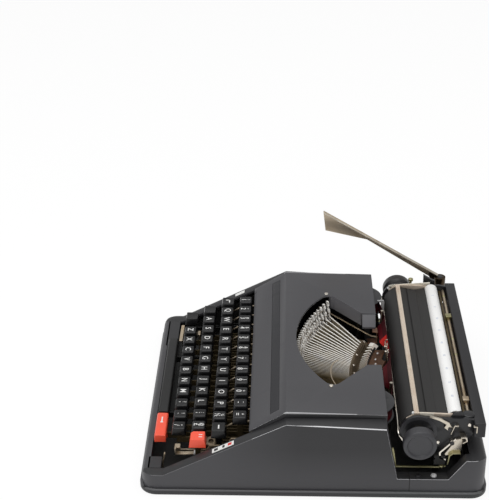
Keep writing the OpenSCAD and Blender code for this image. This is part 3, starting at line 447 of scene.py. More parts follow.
def strip(bm, path, side, width, thick):
    """A flat strip bent along a path, its width along one fixed direction."""
    path = [Vector(p) for p in path]
    side = Vector(side).normalized()
    rings = []
    for k, p in enumerate(path):
        into = (p - path[k - 1]).normalized() if k else None
        out = (path[k + 1] - p).normalized() if k + 1 < len(path) else None
        along = ((into or out) + (out or into)).normalized()
        mitre = 1.0 / max(0.4, along.dot(out or into))
        face = along.cross(side).normalized() * (thick / 2 * mitre)
        half = side * (width / 2)
        rings.append([bm.verts.new(q * MM) for q in
                      (p + half + face, p + half - face, p - half - face, p - half + face)])
    skin(bm, rings)


def bent(bm, x, path, wide, thick):
    """A strip bent along (y, z) points at one x."""
    strip(bm, [(x, y, z) for y, z in path], ACROSS, wide, thick)


def tube(bm, path, radius, sides=8):
    """A round wire along a path, its corners eased by two cuts."""
    points = [Vector(p) for p in path]
    for _ in range(2):
        cut = [points[0]]
        for p, q in zip(points, points[1:]):
            cut += [p.lerp(q, 0.25), p.lerp(q, 0.75)]
        points = cut + [points[-1]]
    rings = []
    up = Vector((0.31, 0.23, 0.92))
    for k, p in enumerate(points):
        along = (points[min(k + 1, len(points) - 1)] - points[max(k - 1, 0)]).normalized()
        a = along.cross(up).normalized()
        b = along.cross(a)
        rings.append([bm.verts.new((p + (a * math.cos(t) + b * math.sin(t)) * radius) * MM)
                      for t in (2 * math.pi * i / sides for i in range(sides))])
    skin(bm, rings)


def turned(bm, profile, at, axis=(0, 0, 1), steps=24, ring=False):
    """A turned part: (radius, height) pairs round an axis from a point; a ring joins its two ends."""
    turn = Vector((0, 0, 1)).rotation_difference(Vector(axis)).to_matrix()
    rings = []
    for r, h in profile:
        rings.append([bm.verts.new((turn @ Vector((r * math.cos(t), r * math.sin(t), h)) + Vector(at)) * MM)
                      for t in (2 * math.pi * i / steps for i in range(steps))])
    skin(bm, rings, ring)


def made_of(name, body, slot, finish, *shapes, round_by=0.0, steps=1):
    """A piece of several shapes, each a maker with what it takes; its edges may be rounded at the end."""
    bm = bmesh.new()
    for make, *values in shapes:
        make(bm, *values)
    return mesh_piece(name, ease(bm, round_by, steps) if round_by else bm, body, finish)


# Repeats by Geometry Nodes

def repeat_tree():
    """Sets one shape on every point of a mesh, turned and stretched by the point's own values."""
    tree = bpy.data.node_groups.new("repeat_shape", "GeometryNodeTree")
    for name, kind in (("Points", "Geometry"), ("Shape", "Object"), ("Finish", "Material")):
        tree.interface.new_socket(name, in_out="INPUT", socket_type="NodeSocket" + kind)
    tree.interface.new_socket("Piece", in_out="OUTPUT", socket_type="NodeSocketGeometry")
    kinds = ("NodeGroupInput", "NodeGroupOutput", "GeometryNodeObjectInfo", "FunctionNodeEulerToRotation",
             "GeometryNodeInstanceOnPoints", "GeometryNodeRealizeInstances", "GeometryNodeSetMaterial",
             "GeometryNodeInputNamedAttribute", "GeometryNodeInputNamedAttribute")
    start, end, shape, turn, placed, real, coated, turns, stretches = (tree.nodes.new(kind) for kind in kinds)
    for own, key in ((turns, "turn"), (stretches, "stretch")):
        own.data_type = "FLOAT_VECTOR"
        own.inputs["Name"].default_value = key
    for source, output, target, socket in (
            (start, "Shape", shape, "Object"), (turns, "Attribute", turn, 0),
            (start, "Points", placed, "Points"), (shape, "Geometry", placed, "Instance"),
            (turn, 0, placed, "Rotation"), (stretches, "Attribute", placed, "Scale"),
            (placed, 0, real, 0), (real, 0, coated, "Geometry"),
            (start, "Finish", coated, "Material"), (coated, 0, end, 0)):
        tree.links.new(source.outputs[output], target.inputs[socket])
    return tree


REPEAT = repeat_tree()


def repeated(name, shape, spots, body, finish, stands_for=(), smooth=35):
    """One piece from a shape set at each spot: a point in millimetres, a turn and a stretch."""
    part = bpy.data.objects.new(name + "_shape", settled_mesh(name + "_shape", shape, smooth))
    points = bpy.data.meshes.new(name + "_points")
    points.from_pydata([Vector(s[0]) * MM for s in spots], [], [])
    for key, at in (("turn", 1), ("stretch", 2)):
        values = points.attributes.new(key, "FLOAT_VECTOR", "POINT")
        values.data.foreach_set("vector", [float(c) for s in spots for c in s[at]])
    holder = bpy.data.objects.new(name + "_points", points)
    for obj in (part, holder):
        SCENE.collection.objects.link(obj)
    made = holder.modifiers.new("repeat", "NODES")
    made.node_group = REPEAT
    chosen = {"Shape": part, "Finish": finish.material}
    for socket in REPEAT.interface.items_tree:
        if socket.in_out == "INPUT" and socket.name in chosen:
            made[socket.identifier] = chosen[socket.name]
    graph = bpy.context.evaluated_depsgraph_get()
    mesh = bpy.data.meshes.new_from_object(holder.evaluated_get(graph))
    mesh.name = name
    holder.modifiers.clear()
    for obj in (part, holder):
        bpy.data.objects.remove(obj)
    return dress(bpy.data.objects.new(name, mesh), body, finish, stands_for)


def screw_shape(radius, height, slot=True):
    """A pan-headed screw with a cut slot, standing on z = 0."""
    bm = bmesh.new()
    turned(bm, [(radius * 0.96, -0.2), (radius, 0.0), (radius, height * 0.35),
                (radius * 0.86, height * 0.8), (radius * 0.55, height), (0.02, height)], (0, 0, 0), steps=20)
    if slot:
        for s in SIDES:
            block(bm, (-radius * 0.8, s * radius * 0.3 - radius * 0.17, height * 0.7),
                  (radius * 0.8, s * radius * 0.3 + radius * 0.17, height * 1.12), 0.08)
    return bm


# Casing, frame and cover

case_hw, rim_w, recess_z, seam_y, chamfer_y = 141.3, 11.3, 19.2, 86.7, 121.3
flange_x = case_hw - rim_w / 2


def base_with_lip():
    """The base pan, its outer lip raised to the thickness in the photo."""
    lip_x, lip_y, lip_low, lip_high, raise_by = 140.9, 155.5, 2.7, 6.2, 1.7
    bm = ease(node_copy("base_pan"), 0.9)
    for v in bm.verts:
        x, y, z = (abs(c) / MM for c in v.co)
        if lip_low < z < lip_high and (x > lip_x or y > lip_y):
            v.co.z += raise_by * MM
    return bm


def housing_with_shoulder():
    """The front housing, its outer shoulder falling to the rear."""
    shoulder_x, shoulder_low, fall_start, fall_run, fall = 138.5, 60.0, -30.0, 94.0, 4.5
    bm = ease(node_copy("front_housing"), 1.1, 3, 20.0)
    for v in bm.verts:
        x, y, z = (c / MM for c in v.co)
        if abs(x) > shoulder_x and z > shoulder_low:
            v.co.z -= fall * MM * clamped((y - fall_start) / fall_run)
    return bm


stand_in("base_pan", base_with_lip(), BASE)
stand_in("front_housing", housing_with_shoulder(), CASING)
eased("rear_housing", 1.1, CASING, 3, 20.0)
eased("ribbon_cover", 0.8, COVER, 3, 25.0)
paint_node("rubber_feet", FOOT)
eased("name_band", 0.25, BAND)
for hidden in ("side_frames", "cross_frame", "typebar_rest", "carriage_rail"):
    paint_node(hidden, INSIDE)
for bare in ("fulcrum_rod", "spool_shafts", "mainspring_drum", "ratchet_wheel", "platen_shaft"):
    paint_node(bare, STEEL)
paint_node("cover_hinge_pins", NICKEL)
for spool in ("spool_left", "spool_right"):
    eased(spool, 0.4, SPOOL)
for name, y, turn, slot, finish, node in (
        ("casing_screw_heads", chamfer_y - 12.6, 1.2, "nickel", PALE, ("casing_screws",)),
        ("casing_screw_heads_black", seam_y + 8, 0.4, "black_enamel", ENAMEL, ())):
    repeated(name, screw_shape(2.7, 1.5), [((s * flange_x, y, recess_z), (0, 0, turn), PLAIN) for s in SIDES],
             "machine", finish, node)


def seam_groove(bm, side):
    """Dark joint between the casing's front and rear halves, a hair proud of both."""
    front, rear, foot, top = seam_y - 0.35, seam_y + 0.35, 4.1, recess_z + 0.03
    plate(bm, [(front, foot), (rear, foot), (rear, top), (front, top)],
          side * (case_hw - rim_w + 0.1), side * (case_hw + 0.05))


made_of("casing_seam", "machine", "black_enamel", INSIDE, *[(seam_groove, s) for s in SIDES])


# Type basket: bars, slugs, segment, ribbon

strike = Vector((0.0, 73.0, 72.0))
bar_count, centre_bar = 44, 22
pivot_r, pivot_span, segment_tilt = 50.0, 50.0, math.radians(45)
rest_r, rest_span, rest_front, rest_top, rest_dip = 113.6, 42.4, -9.6, 57.3, 10.0
slug_lean = math.radians(15)


def bar_place(i):
    """Place of a bar across the basket, from -1 to 1; the bars stand closer in the middle."""
    s = -1 + 2 * i / (bar_count - 1)
    return s * (0.8 + 0.2 * s * s)


def bar_ends(i):
    u = bar_place(i)
    a, t = math.radians(pivot_span * u), math.radians(rest_span * u)
    drop = pivot_r * math.cos(a) * math.sqrt(0.5)
    root = Vector((pivot_r * math.sin(a), strike.y - drop, strike.z - drop))
    tip = Vector((rest_r * math.sin(t), rest_front + rest_r * (1 - math.cos(t)),
                  rest_top - rest_dip * (1 - u * u)))
    return root, tip


def typebar_shape():
    """One typebar a millimetre long along X, to be stretched, tapered to its tip."""
    bm = bmesh.new()
    t, c = 0.45, 0.16
    rings = []
    for x, low, high in ((0.0, -2.5, 2.5), (0.55, -2.5, 2.5), (0.9, -1.7, 2.3), (1.0, -1.5, 2.2)):
        rings.append([bm.verts.new(Vector((x, y, z)) * MM) for y, z in
                      ((-t, low), (t, low), (t, high - c), (t - c, high), (-t + c, high), (-t, high - c))])
    skin(bm, rings)
    return bm


def slug_shape():
    """One type slug: a shank on its foot, with two raised type faces on its inner side."""
    bm = bmesh.new()
    block(bm, (-1.9, -0.9, -2.4), (1.9, 0.9, 2.2), 0.2)
    block(bm, (-0.7, -0.95, 1.0), (1.5, 0.95, 18.8), 0.25)
    for low, high in ((4.6, 10.0), (13.0, 18.6)):
        half = (high - low) / 2
        face = block(bm, (-1.2, -half, 0.0), (1.2, half, 1.3), 0.4)
        seat = Matrix.Translation(Vector((-0.6, 0, low + half)) * MM)
        turn = Matrix.Rotation(math.radians(-90), 4, "Y") @ Matrix.Rotation(math.radians(90), 4, "Z")
        bmesh.ops.transform(bm, matrix=seat @ turn, verts=face)
    bmesh.ops.recalc_face_normals(bm, faces=bm.faces)
    return bm


def basket_spots(which):
    """Where the bars and slugs of some typebars go."""
    bars, slugs = [], []
    for i in which:
        root, tip = bar_ends(i)
        run = tip - root
        yaw = math.atan2(run.y, run.x)
        pitch = math.asin(run.z / run.length)
        start = root - run.normalized() * 3.0
        place = bar_place(i)
        thick, tall = (1.45 if place < -0.25 else 1.1), 1 + 0.3 * max(0.0, place - 0.35)
        bars.append((start, (0, -pitch, yaw), ((tip - start).length, thick, 1)))
        slugs.append((tip, (0, slug_lean, yaw), (1, 1, tall)))
    return bars, slugs


fixed_bars = [i for i in range(bar_count) if i != centre_bar]
for which, body, blade, node, slug in (
        (fixed_bars, "machine", "typebar_fan", "typebars", "type_slugs"),
        ([centre_bar], "centre_bar", "centre_typebar_blade", "centre_typebar", "centre_type_slug")):
    bars, slugs = basket_spots(which)
    repeated(blade, typebar_shape(), bars, body, TYPEBAR, (node,), 30)
    repeated(slug, slug_shape(), slugs, body, TYPE_METAL, (), 30)
paint_node("type_segment", SEGMENT)


def on_segment(r, angle, height):
    """A point on the tilted segment: radius, angle from its middle, height over its pivot plane."""
    a = math.radians(angle)
    flat = Vector((r * math.sin(a), -r * math.cos(a), height))
    return strike + Matrix.Rotation(segment_tilt, 3, "X") @ flat


def segment_spot(r, angle, height):
    """A spot on the segment for a piece that is turned with it."""
    turn = Matrix.Rotation(segment_tilt, 3, "X") @ Matrix.Rotation(math.radians(angle), 3, "Z")
    return on_segment(r, angle, height), tuple(turn.to_euler()), PLAIN


comb_r, comb_end = 35.5, 54.5
comb_angles = [pivot_span * (bar_place(i) + bar_place(i + 1)) / 2 for i in range(0, bar_count - 1, 2)]


def one_block(low, high, inset):
    """A shape of one block alone."""
    bm = bmesh.new()
    block(bm, low, high, inset)
    return bm


repeated("segment_comb", one_block((-0.72, -4.4, -2.6), (0.72, 4.4, 0.0), 0.15),
         [segment_spot(comb_r, a, -3.0) for a in comb_angles], "machine", COMB, (), 30)


def arched_plate(bm, inner, outer, low, high, span, steps=40):
    """A plate bent round the segment's middle between two radii."""
    rings = []
    for k in range(steps + 1):
        angle = -span + 2 * span * k / steps
        rings.append([bm.verts.new(on_segment(r, angle, h) * MM)
                      for r, h in ((inner, low), (outer, low), (outer, high), (inner, high))])
    skin(bm, rings)


made_of("segment_comb_back", "machine", "brass", INSIDE, (arched_plate, 31.0, 40.0, -8.0, -5.4, 53))
made_of("segment_inner_plate", "machine", "brass", COPPER, (arched_plate, 13.0, 31.6, -8.4, -7.0, 48))
repeated("segment_comb_ends", one_block((-2.6, -4.6, -5.0), (2.6, 4.6, 0.0), 0.5),
         [segment_spot(comb_r, s * comb_end, -2.9) for s in SIDES], "machine", COMB, (), 30)
repeated("segment_rim_screws", screw_shape(1.5, 0.9),
         [(on_segment(41.8, s * a, 2.0), (segment_tilt, 0, 0.3 * s * a), PLAIN)
          for s in SIDES for a in (53, 30, 10)],
         "machine", BRIGHT, (), 30)


# A thin wire over the fixed bars at the right, and a trim strip along the far side of the fan
made_of("basket_guard", "machine", "nickel", TAN,
        (tube, [(13, 25.5, 63.2), (19.2, 19.9, 63.4), (33, 17.6, 63.5), (46, 18.4, 63.6), (60.2, 23.0, 63.6),
                (64.6, 25.0, 61.0), (65.4, 25.6, 55.6)], 0.6),
        (strip, [(-76.6, 20.4, 63.1), (-37.5, 61.0, 60.0), (-36.6, 66.4, 59.8)], UPRIGHT, 1.1, 0.8))
repeated("mouth_rivets", screw_shape(2.1, 1.1, False),
         [((s * 84.8, 16.4, 81.05), LEVEL, PLAIN) for s in SIDES], "cover", BRIGHT)
eased("ribbon_vibrator", 0.2, BRIGHT, 1)
loop_profile = [(0.5, 0.0), (0.5, 1.6), (1.0, 1.8), (1.0, 2.6), (0.2, 2.9)]
loop_path = ((8.0, 73.3, 62.0), (8.0, 72.4, 66.5), (10.5, 72.2, 71.6), (9.0, 74.2, 73.6))
made_of("ribbon_loops", "vibrator", "nickel", BRIGHT,
        *[(turned, loop_profile, (x, 73.8, 68.6), (0, -1, 0), 14) for x in (-4.2, 5.1)],
        *[(tube, [(s * x, y, z) for x, y, z in loop_path], 0.55) for s in SIDES])

# Small plates and studs round the printing point
made_of("ribbon_side_bracket", "machine", "brass", COPPER,
        (bent, -39.0, ((57.0, 53.0), (66.4, 53.4), (66.4, 65.6), (61.4, 66.4)), 9.0, 0.9), round_by=0.2)
stud_profile = [(0.6, -1.0), (1.1, 0.0), (1.1, 0.8), (0.4, 1.3)]
made_of("printing_point_studs", "machine", "nickel", PALE,
        *[(turned, stud_profile, on_segment(21.0, a, -7.0), (0, -0.7, 0.7), 14) for a in (-36, -14, 8)])

ribbon_w, ribbon_z, spool_x, spool_y = 11.2, 65.5, 96.005, 52.0


def ribbon_sheet():
    """The ribbon from spool to spool, leaning back between the vibrator and its posts."""
    leave_x, leave_y, post_x, post_y, middle_y = 95.0, 69.6, 66.0, 74.7, 75.85
    most_tilt, most_back, steps = math.radians(40.0), 3.5, 96
    bm = bmesh.new()
    rows = []
    for k in range(steps + 1):
        x = leave_x * (2 * k / steps - 1)
        far = abs(x)
        if far > post_x:
            y = leave_y + (post_y - leave_y) * (leave_x - far) / (leave_x - post_x)
        else:
            y = post_y + (middle_y - post_y) * (post_x - far) / post_x
        lean = clamped((far - 12.0) / 12.0) * clamped((62.0 - far) / 9.0)
        lean = lean * lean * (3 - 2 * lean)
        tilt = most_tilt * lean
        rows.append([bm.verts.new(Vector((x, y - most_back * lean + d * math.sin(tilt),
                                          ribbon_z + d * math.cos(tilt))) * MM)
                     for d in (ribbon_w * (j / 4 - 0.5) for j in range(5))])
    for a, b in zip(rows, rows[1:]):
        for k in range(4):
            bm.faces.new([a[k], b[k], b[k + 1], a[k + 1]])
    bmesh.ops.recalc_face_normals(bm, faces=bm.faces)
    length = sum((b[2].co - a[2].co).length for a, b in zip(rows, rows[1:]))
    bmesh.ops.solidify(bm, geom=bm.faces[:], thickness=0.2 * MM)
    return bm, length


cloth, ribbon_length = ribbon_sheet()
ribbon = mesh_piece("inked_ribbon", cloth, "machine", RIBBON, ("ribbon",), 60)


# Turns of ribbon on each spool's core, between its flanges
core_r, pack_r, pack_h, pack_z = 17.1, 20.2, 11.6, 59.7
pack_profile = [(core_r, 0.0), (pack_r, 0.0), (pack_r, pack_h), (core_r, pack_h)]
for s, body, name in ((-1, "spool_l", "wound_ribbon_left"), (1, "spool_r", "wound_ribbon_right")):
    made_of(name, body, "ribbon_cloth", RIBBON,
            (turned, pack_profile, (s * spool_x, spool_y, pack_z), UPRIGHT, 48, True))


# Keys and their legends

key_pitch, first_x, row_stagger = 19.0, -105.0, (0.0, 0.5, 0.75, 1.25)
row_y = [-66.8 - 19.1 * i for i in range(4)]
row_top = [62.6 - 7.664 * i for i in range(4)]
dish_r, dish, cap_h, well_floor = 52.09, 0.5, 8.5, 2.5
ROW_BODIES = ("number_row", "upper_row", "home_row", "lower_row")
LETTERS = (
    ["!1", '"2', "#3", "$4", "%5", "&6", "'7", "(8", ")9", "*0", "_-", "+="],
    ["Q", "W", "E", "R", "T", "Y", "U", "I", "O", "P", "\u00bc\u00bd"],
    ["A", "S", "D", "F", "G", "H", "J", "K", "L", ":;", "@\u00a3"],
    ["Z", "X", "C", "V", "B", "N", "M", "?,", "!.", "\u00b0/"],
)


def middle_of(verts):
    """The middle of the box round some points."""
    return Vector([(min(c) + max(c)) / 2 for c in zip(*(v.co for v in verts))])


def grown(verts, share):
    """Points drawn out from their own middle."""
    middle = middle_of(verts)
    for v in verts:
        v.co = Vector([m + (c - m) * s for c, m, s in zip(v.co, middle, share)])


def part_of(bm, at, outward):
    """Keeps the part of a shape on one side of a plane and closes the cut."""
    cut = bmesh.ops.bisect_plane(bm, geom=bm.verts[:] + bm.edges[:] + bm.faces[:], dist=1e-7,
                                 plane_co=Vector(at) * MM, plane_no=Vector(outward), clear_outer=True)
    rim = [e for e in cut["geom_cut"] if isinstance(e, bmesh.types.BMEdge)]
    bmesh.ops.holes_fill(bm, edges=rim, sides=0)
    bmesh.ops.recalc_face_normals(bm, faces=bm.faces)
    return bm


def red_key(node, at, outward, share, round_by, corner=None):
    """A red key in two pieces: its cap, drawn out a little, and the bare lever under it."""
    bm = part_of(node_copy(node), at, outward)
    grown(bm.verts, share)
    if corner:
        part_of(bm, corner, (-1, -1, 0))
    stand_in(node, ease(bm, round_by, 4), KEY_RED, "_cap")
    rest = part_of(node_copy(node), at, tuple(-c for c in outward))
    mesh_piece(node + "_lever", rest, BODY_OF[node], LEVER)


for row_body in (*ROW_BODIES, "centre_key"):
    plural = "" if row_body == "centre_key" else "s"
    caps = row_body + "_cap" + plural
    bm = node_copy(caps)
    grown(bm.verts, (1.0, 1.16, 1.0))
    stand_in(caps, ease(bm, 1.5, 4), KEY_BLACK)
    eased(row_body + "_lever" + plural, 0.2, LEVER, 1)
made_of("number_row_arms", "number_row", "brass", TAN,
        *[(bent, first_x + key_pitch * i, ((-78.6, 48.6), (-70.0, 53.9), (-56.5, 54.4)), 1.6, 1.0)
          for i in range(len(LETTERS[0]))])
for lone in ("margin_release_key", "right_end_key", "shift_lock_key", "left_shift_key"):
    bm = node_copy(lone)
    top = max(v.co.z for v in bm.verts)
    grown([v for v in bm.verts if v.co.z > top - cap_h * MM], (1.12, 1.16, 1.0))
    stand_in(lone, ease(bm, 1.3, 3), KEY_BLACK)
red_key("red_row_key", (0, 0, 39.05), (0, 0, -1), (1.1, 1.25, 1.0), 1.4, (112.4, -111.0, 0))
red_key("red_bar_key", (0, -136.85, 0), (0, 1, 0), (1.0, 1.08, 1.0), 0.9)
eased("space_bar", 0.9, BAR_GREY, 3)
eased("right_shift_lever", 0.2, TAN, 1)
made_of("keyboard_aprons", "machine", "black_enamel", RIM,
        *[(block, (left, -151.0, 17.5), (right, -138.3, 19.8), 0.4)
          for left, right in ((112.2, 130.0), (-130.0, -80.0))])


def glyph_meshes(wanted):
    """Meshes of single characters, each centred, with its capital height in millimetres."""
    made = {}
    for text, height in wanted:
        curve = bpy.data.curves.new("glyph", "FONT")
        curve.body = text
        curve.size = height * MM / 0.7
        curve.extrude = 0.05 * MM
        curve.offset = 0.055 * height / 6 * MM
        curve.resolution_u = 3
        made[text, height] = bpy.data.objects.new("glyph", curve)
        SCENE.collection.objects.link(made[text, height])
    graph = bpy.context.evaluated_depsgraph_get()
    meshes = {}
    for key, obj in made.items():
        mesh = bpy.data.meshes.new_from_object(obj.evaluated_get(graph))
        middle = middle_of(mesh.vertices)
        for v in mesh.vertices:
            v.co.xy -= middle.xy
        meshes[key] = mesh
    for obj in made.values():
        curve = obj.data
        bpy.data.objects.remove(obj)
        bpy.data.curves.remove(curve)
    return meshes


def add_glyph(bm, mesh, place):
    """Adds a character, with a rule that places each of its points in millimetres."""
    before = len(bm.verts)
    bm.from_mesh(mesh)
    bm.verts.ensure_lookup_table()
    for v in bm.verts[before:]:
        v.co = place(v.co / MM) * MM


def legend_plan():
    """Every character with its capital height, its body and its place on a key top."""
    plan = []
    for row, keys in enumerate(LETTERS):
        for i, text in enumerate(keys):
            spot = first_x + key_pitch * (row_stagger[row] + i), row_y[row], row_top[row]
            body = "centre_key" if text == "H" else ROW_BODIES[row]
            sizes = ((5.8, 0.0),) if len(text) == 1 else ((3.4, 2.6), (5.0, -2.1))
            plan += [(sign, height, body, spot, up) for sign, (height, up) in zip(text, sizes)]
    return plan


def key_legends():
    plan = legend_plan()
    meshes = glyph_meshes({(t, h) for t, h, *_ in plan})
    by_body = {}
    for text, height, body, (x, y, top), up in plan:
        def on_dish(p):
            rise = dish_r - math.sqrt(dish_r ** 2 - p.x ** 2) - dish
            return p + Vector((x, y + up, top + rise + 0.03))
        add_glyph(by_body.setdefault(body, bmesh.new()), meshes[text, height], on_dish)
    for body, bm in by_body.items():
        mesh_piece(body + "_legends", bm, body, LEGEND)


key_legends()


def bar_mark(name, body, spots):
    """Plain white marks on the keys that carry no letter."""
    made_of(name, body, "white_paint", LEGEND,
            *[(block, (x - w / 2, y - d / 2, z - 0.15), (x + w / 2, y + d / 2, z + 0.09), 0.04)
              for (x, y, z), (w, d) in spots])


bar_mark("right_end_mark", "right_end", [((113.5, row_y[1], row_top[1] - 0.47), (6.0, 1.3))])
bar_mark("margin_mark", "margin_release", [
    ((-116.6, row_y[1] - 0.8, row_top[1] - 0.44), (1.2, 3.6)),
    ((-113.9, row_y[1] + 1.4, row_top[1] - 0.44), (4.6, 1.2))])
bar_mark("red_bar_mark", "red_bar", [
    ((67.9, -141.9, 30.25), (7.5, 1.3)), ((72.5, -141.9, 30.25), (1.8, 2.6))])
bar_mark("red_key_mark", "red_row", [
    ((x, row_y[2] + 2.6, row_top[2] - 0.45), (1.0, 3.4)) for x in (115.2, 118.6)])


# Plated brackets and lever ends that show in the well round the keys
made_of("keyboard_brackets", "machine", "nickel", TAN,
        (strip, [(-104, -133.6, well_floor), (-104, -133.6, 29.5), (-84, -134.6, 25.5), (-80, -134.6, 25.5)],
         (0, 1, 0), 3.4, 1.2),
        (strip, [(-92.5, -115.6, well_floor), (-92.5, -115.6, 29.8), (-85.5, -115.6, 29.8)],
         (0, 1, 0), 2.6, 1.2),
        (strip, [(117.6, -137.8, 12), (118.0, -137.6, 17), (118.2, -136.4, 22), (118.2, -135.6, 28)],
         ACROSS, 3.0, 1.2),
        (strip, [(114.2, -126.0, 32.0), (114.6, -125.6, 25.4), (114.2, -118, 25.0), (113.2, -97, 25.4),
                 (113.2, -94.6, well_floor)], ACROSS, 4.4, 1.3), round_by=0.2)


def side_lever(bm, x, y, z):
    """A lever's end in the well, on a pin from the side wall."""
    bent(bm, x, ((y, z - 5), (y + 3, z), (-50, z)), 1.6, 2.2)
    turned(bm, [(0.9, 0.0), (0.9, 131.0 - x)], (x - 0.6, -52.0, z), ACROSS, 12)


post_x, post_y = 100.9, -93.8
made_of("keyboard_side_levers", "machine", "brass", SEGMENT,
        (side_lever, 118.5, -77, 44.5), (side_lever, 124.2, -96, 41.0),
        (turned, [(2.4, 0), (5.2, 0), (5.2, 2.2), (2.4, 2.2)], (post_x, post_y, 28.0), (0.4, 0, 1), 20, True),
        (turned, [(3.0, 0), (3.0, 26.0)], (post_x, post_y, well_floor), UPRIGHT, 16),
        (block, (103.2, -89.9, well_floor), (104.2, -88.5, 35.6)), round_by=0.2)
# White tabs on the levers in the well, partly painted highlight: white where they glint.
made_of("keyboard_clips", "machine", "white_paint", LEGEND,
        (block, (111.5, -109.4, 25.3), (116.3, -104.4, 27.0), 0.3),
        (block, (102.4, -91.8, 35.4), (105.0, -86.6, 37.0), 0.3), round_by=0.2)


def rim_marks():
    """Ribbon colour scale on the right rim and a bare plate on the left rim."""
    eased("rim_plates", 0.15, LEGEND, 1)
    rise, seat_y, seat_z = 0.5144, -81.0, 48.092
    seat = (Matrix.Translation(Vector((flange_x, seat_y, seat_z)) * MM)
            @ Matrix.Rotation(math.atan(rise), 4, "X"))
    for name, along, finish, slot in (("scale_mark_black", -7.0, MARKER_BLACK, "key_black"),
                                      ("scale_mark_half", 0.0, MARKER_BLACK, "key_black"),
                                      ("scale_mark_red", 7.0, GLASS_RED, "key_red")):
        bm = bmesh.new()
        half = along == 0.0
        block(bm, (-1.9, along - (0.6 if half else 2.0), 0.45), (1.9, along + 2.0, 0.72), 0.2)
        bm.transform(seat)
        mesh_piece(name, bm, "machine", finish)


rim_marks()


# Carriage

platen_y, platen_z, release_y, release_z = 93.8, 57.3, 124.0, 50.0
plate_face, release_x = 122.4, 127.25

eased("carriage_frame", 0.5, ENAMEL)
eased("carriage_rear_cover", 0.8, DARK_COVER, 3)
eased("paper_table", 0.3, PLATEN)
eased("paper_rest", 0.3, SCALE)
eased("paper_deflector", 0.2, BRIGHT, 1)
paint_node("margin_rail", TAN)
eased("margin_stop_left", 0.5, OLIVE)
eased("margin_stop_right", 0.5, TAN)
paint_node("feed_roller", FOOT)
eased("platen", 0.5, PLATEN)
# The far knob takes the darker copy of the knob's black as painted shade.
eased("knob_left", 0.5, KNOB_SHADED, 3)
eased("knob_right", 0.5, KNOB, 3)
eased("paper_bail", 0.3, BAIL)
eased("return_lever", 0.35, ARM)


def end_levers():
    """Thin bent levers at the carriage's ends: its two releases and the paper release."""
    for s, node in ((-1, "carriage_release_left"), (1, "carriage_release_right")):
        bm = bmesh.new()
        bent(bm, s * release_x, ((127.3, 54.2), (113.8, 39.2), (114.2, 33.6), (119.4, 30.9)), 1.5, 1.8)
        turned(bm, [(2.2, 0.0), (2.2, 5.2), (1.6, 5.6)],
               (s * plate_face, release_y, release_z), (s, 0, 0), 18)
        stand_in(node, ease(bm, 0.2, 1), BRIGHT, "_bent", 35)
    bm = bmesh.new()
    plate(bm, [(103.0, 76.4), (112.6, 73.8), (120.6, 69.4), (124.2, 63.4), (122.6, 59.4), (119.4, 61.3),
               (116.3, 63.9), (118.2, 67.2), (111.8, 71.2), (103.0, 74.4)], 122.9, 124.3)
    mesh_piece("paper_release_bent", ease(bm, 0.25, 1), BODY_OF["paper_release_lever"],
               NICKEL, ("paper_release_lever",))


end_levers()


# Collars, covers and strips that close the carriage's ends and the gap behind the platen
collar_profile = [(13.6, 0), (16.9, 0), (16.9, 0.4), (13.6, 0.4)]
made_of("carriage_end_collars", "carriage", "black_enamel", KNOB,
        *[(turned, collar_profile, (s * plate_face, platen_y, platen_z), (s, 0, 0), 48, True) for s in SIDES])
made_of("rear_cover_ends", "carriage", "black_enamel", DARK_COVER,
        *[(block, (s * 127.4 - 0.7, 143.3, 56.8), (s * 127.4 + 0.7, 152.7, 70.9)) for s in SIDES],
        round_by=0.4, steps=2)
made_of("paper_apron", "carriage", "black_enamel", PLATEN,
        (plate, [(101.6, 72.1), (105.5, 70.9), (110.5, 70.4), (110.5, 69.8), (105.6, 70.3), (101.8, 71.55)],
         -114.5, 114.5))
made_of("margin_rail_strip", "carriage", "brass", LEVER,
        (block, (-119.7, 135.2, 65.0), (119.7, 137.6, 66.4), 0.2))
made_of("bail_arm_faces", "bail", "nickel", CREAM,
        (plate, [(94.8, 72.4), (107.4, 71.6), (107.4, 75.0), (94.8, 75.8)], 117.3, 118.3),
        (strip, [(-117.8, 82.9, 72.2), (-117.8, 90.2, 73.4), (-117.8, 104.9, 74.6), (-117.8, 126.0, 76.4)],
         UPRIGHT, 2.6, 0.9), round_by=0.2)

# Two raised ribs along the bail's bar, which give it its double line
made_of("bail_ribs", "bail", "nickel", BAIL,
        *[(block, (-116.6, y - 0.85, 74.85), (116.6, y + 0.85, 75.35), 0.25) for y in (90.95, 93.05)])
roller_profile = [(0.9, -0.8), (1.3, -0.5), (1.3, 0.5), (0.9, 0.8)]
made_of("bail_rollers", "bail", "white_paint", LEGEND,
        *[(turned, roller_profile, spot, ACROSS, 16) for spot in ((116.6, 88.9, 74.4), (-118.2, 82.9, 69.8))])
made_of("left_plate_stud", "carriage", "brass", OLIVE,
        (strip, [(-121.0, 106.0, 71.5), (-121.0, 106.0, 78.2)], (0, 1, 0), 2.4, 1.2),
        (turned, [(1.4, 0.0), (2.5, 0.3), (2.5, 2.6), (1.2, 3.2)], (-121.0, 106.0, 77.4), UPRIGHT, 18))


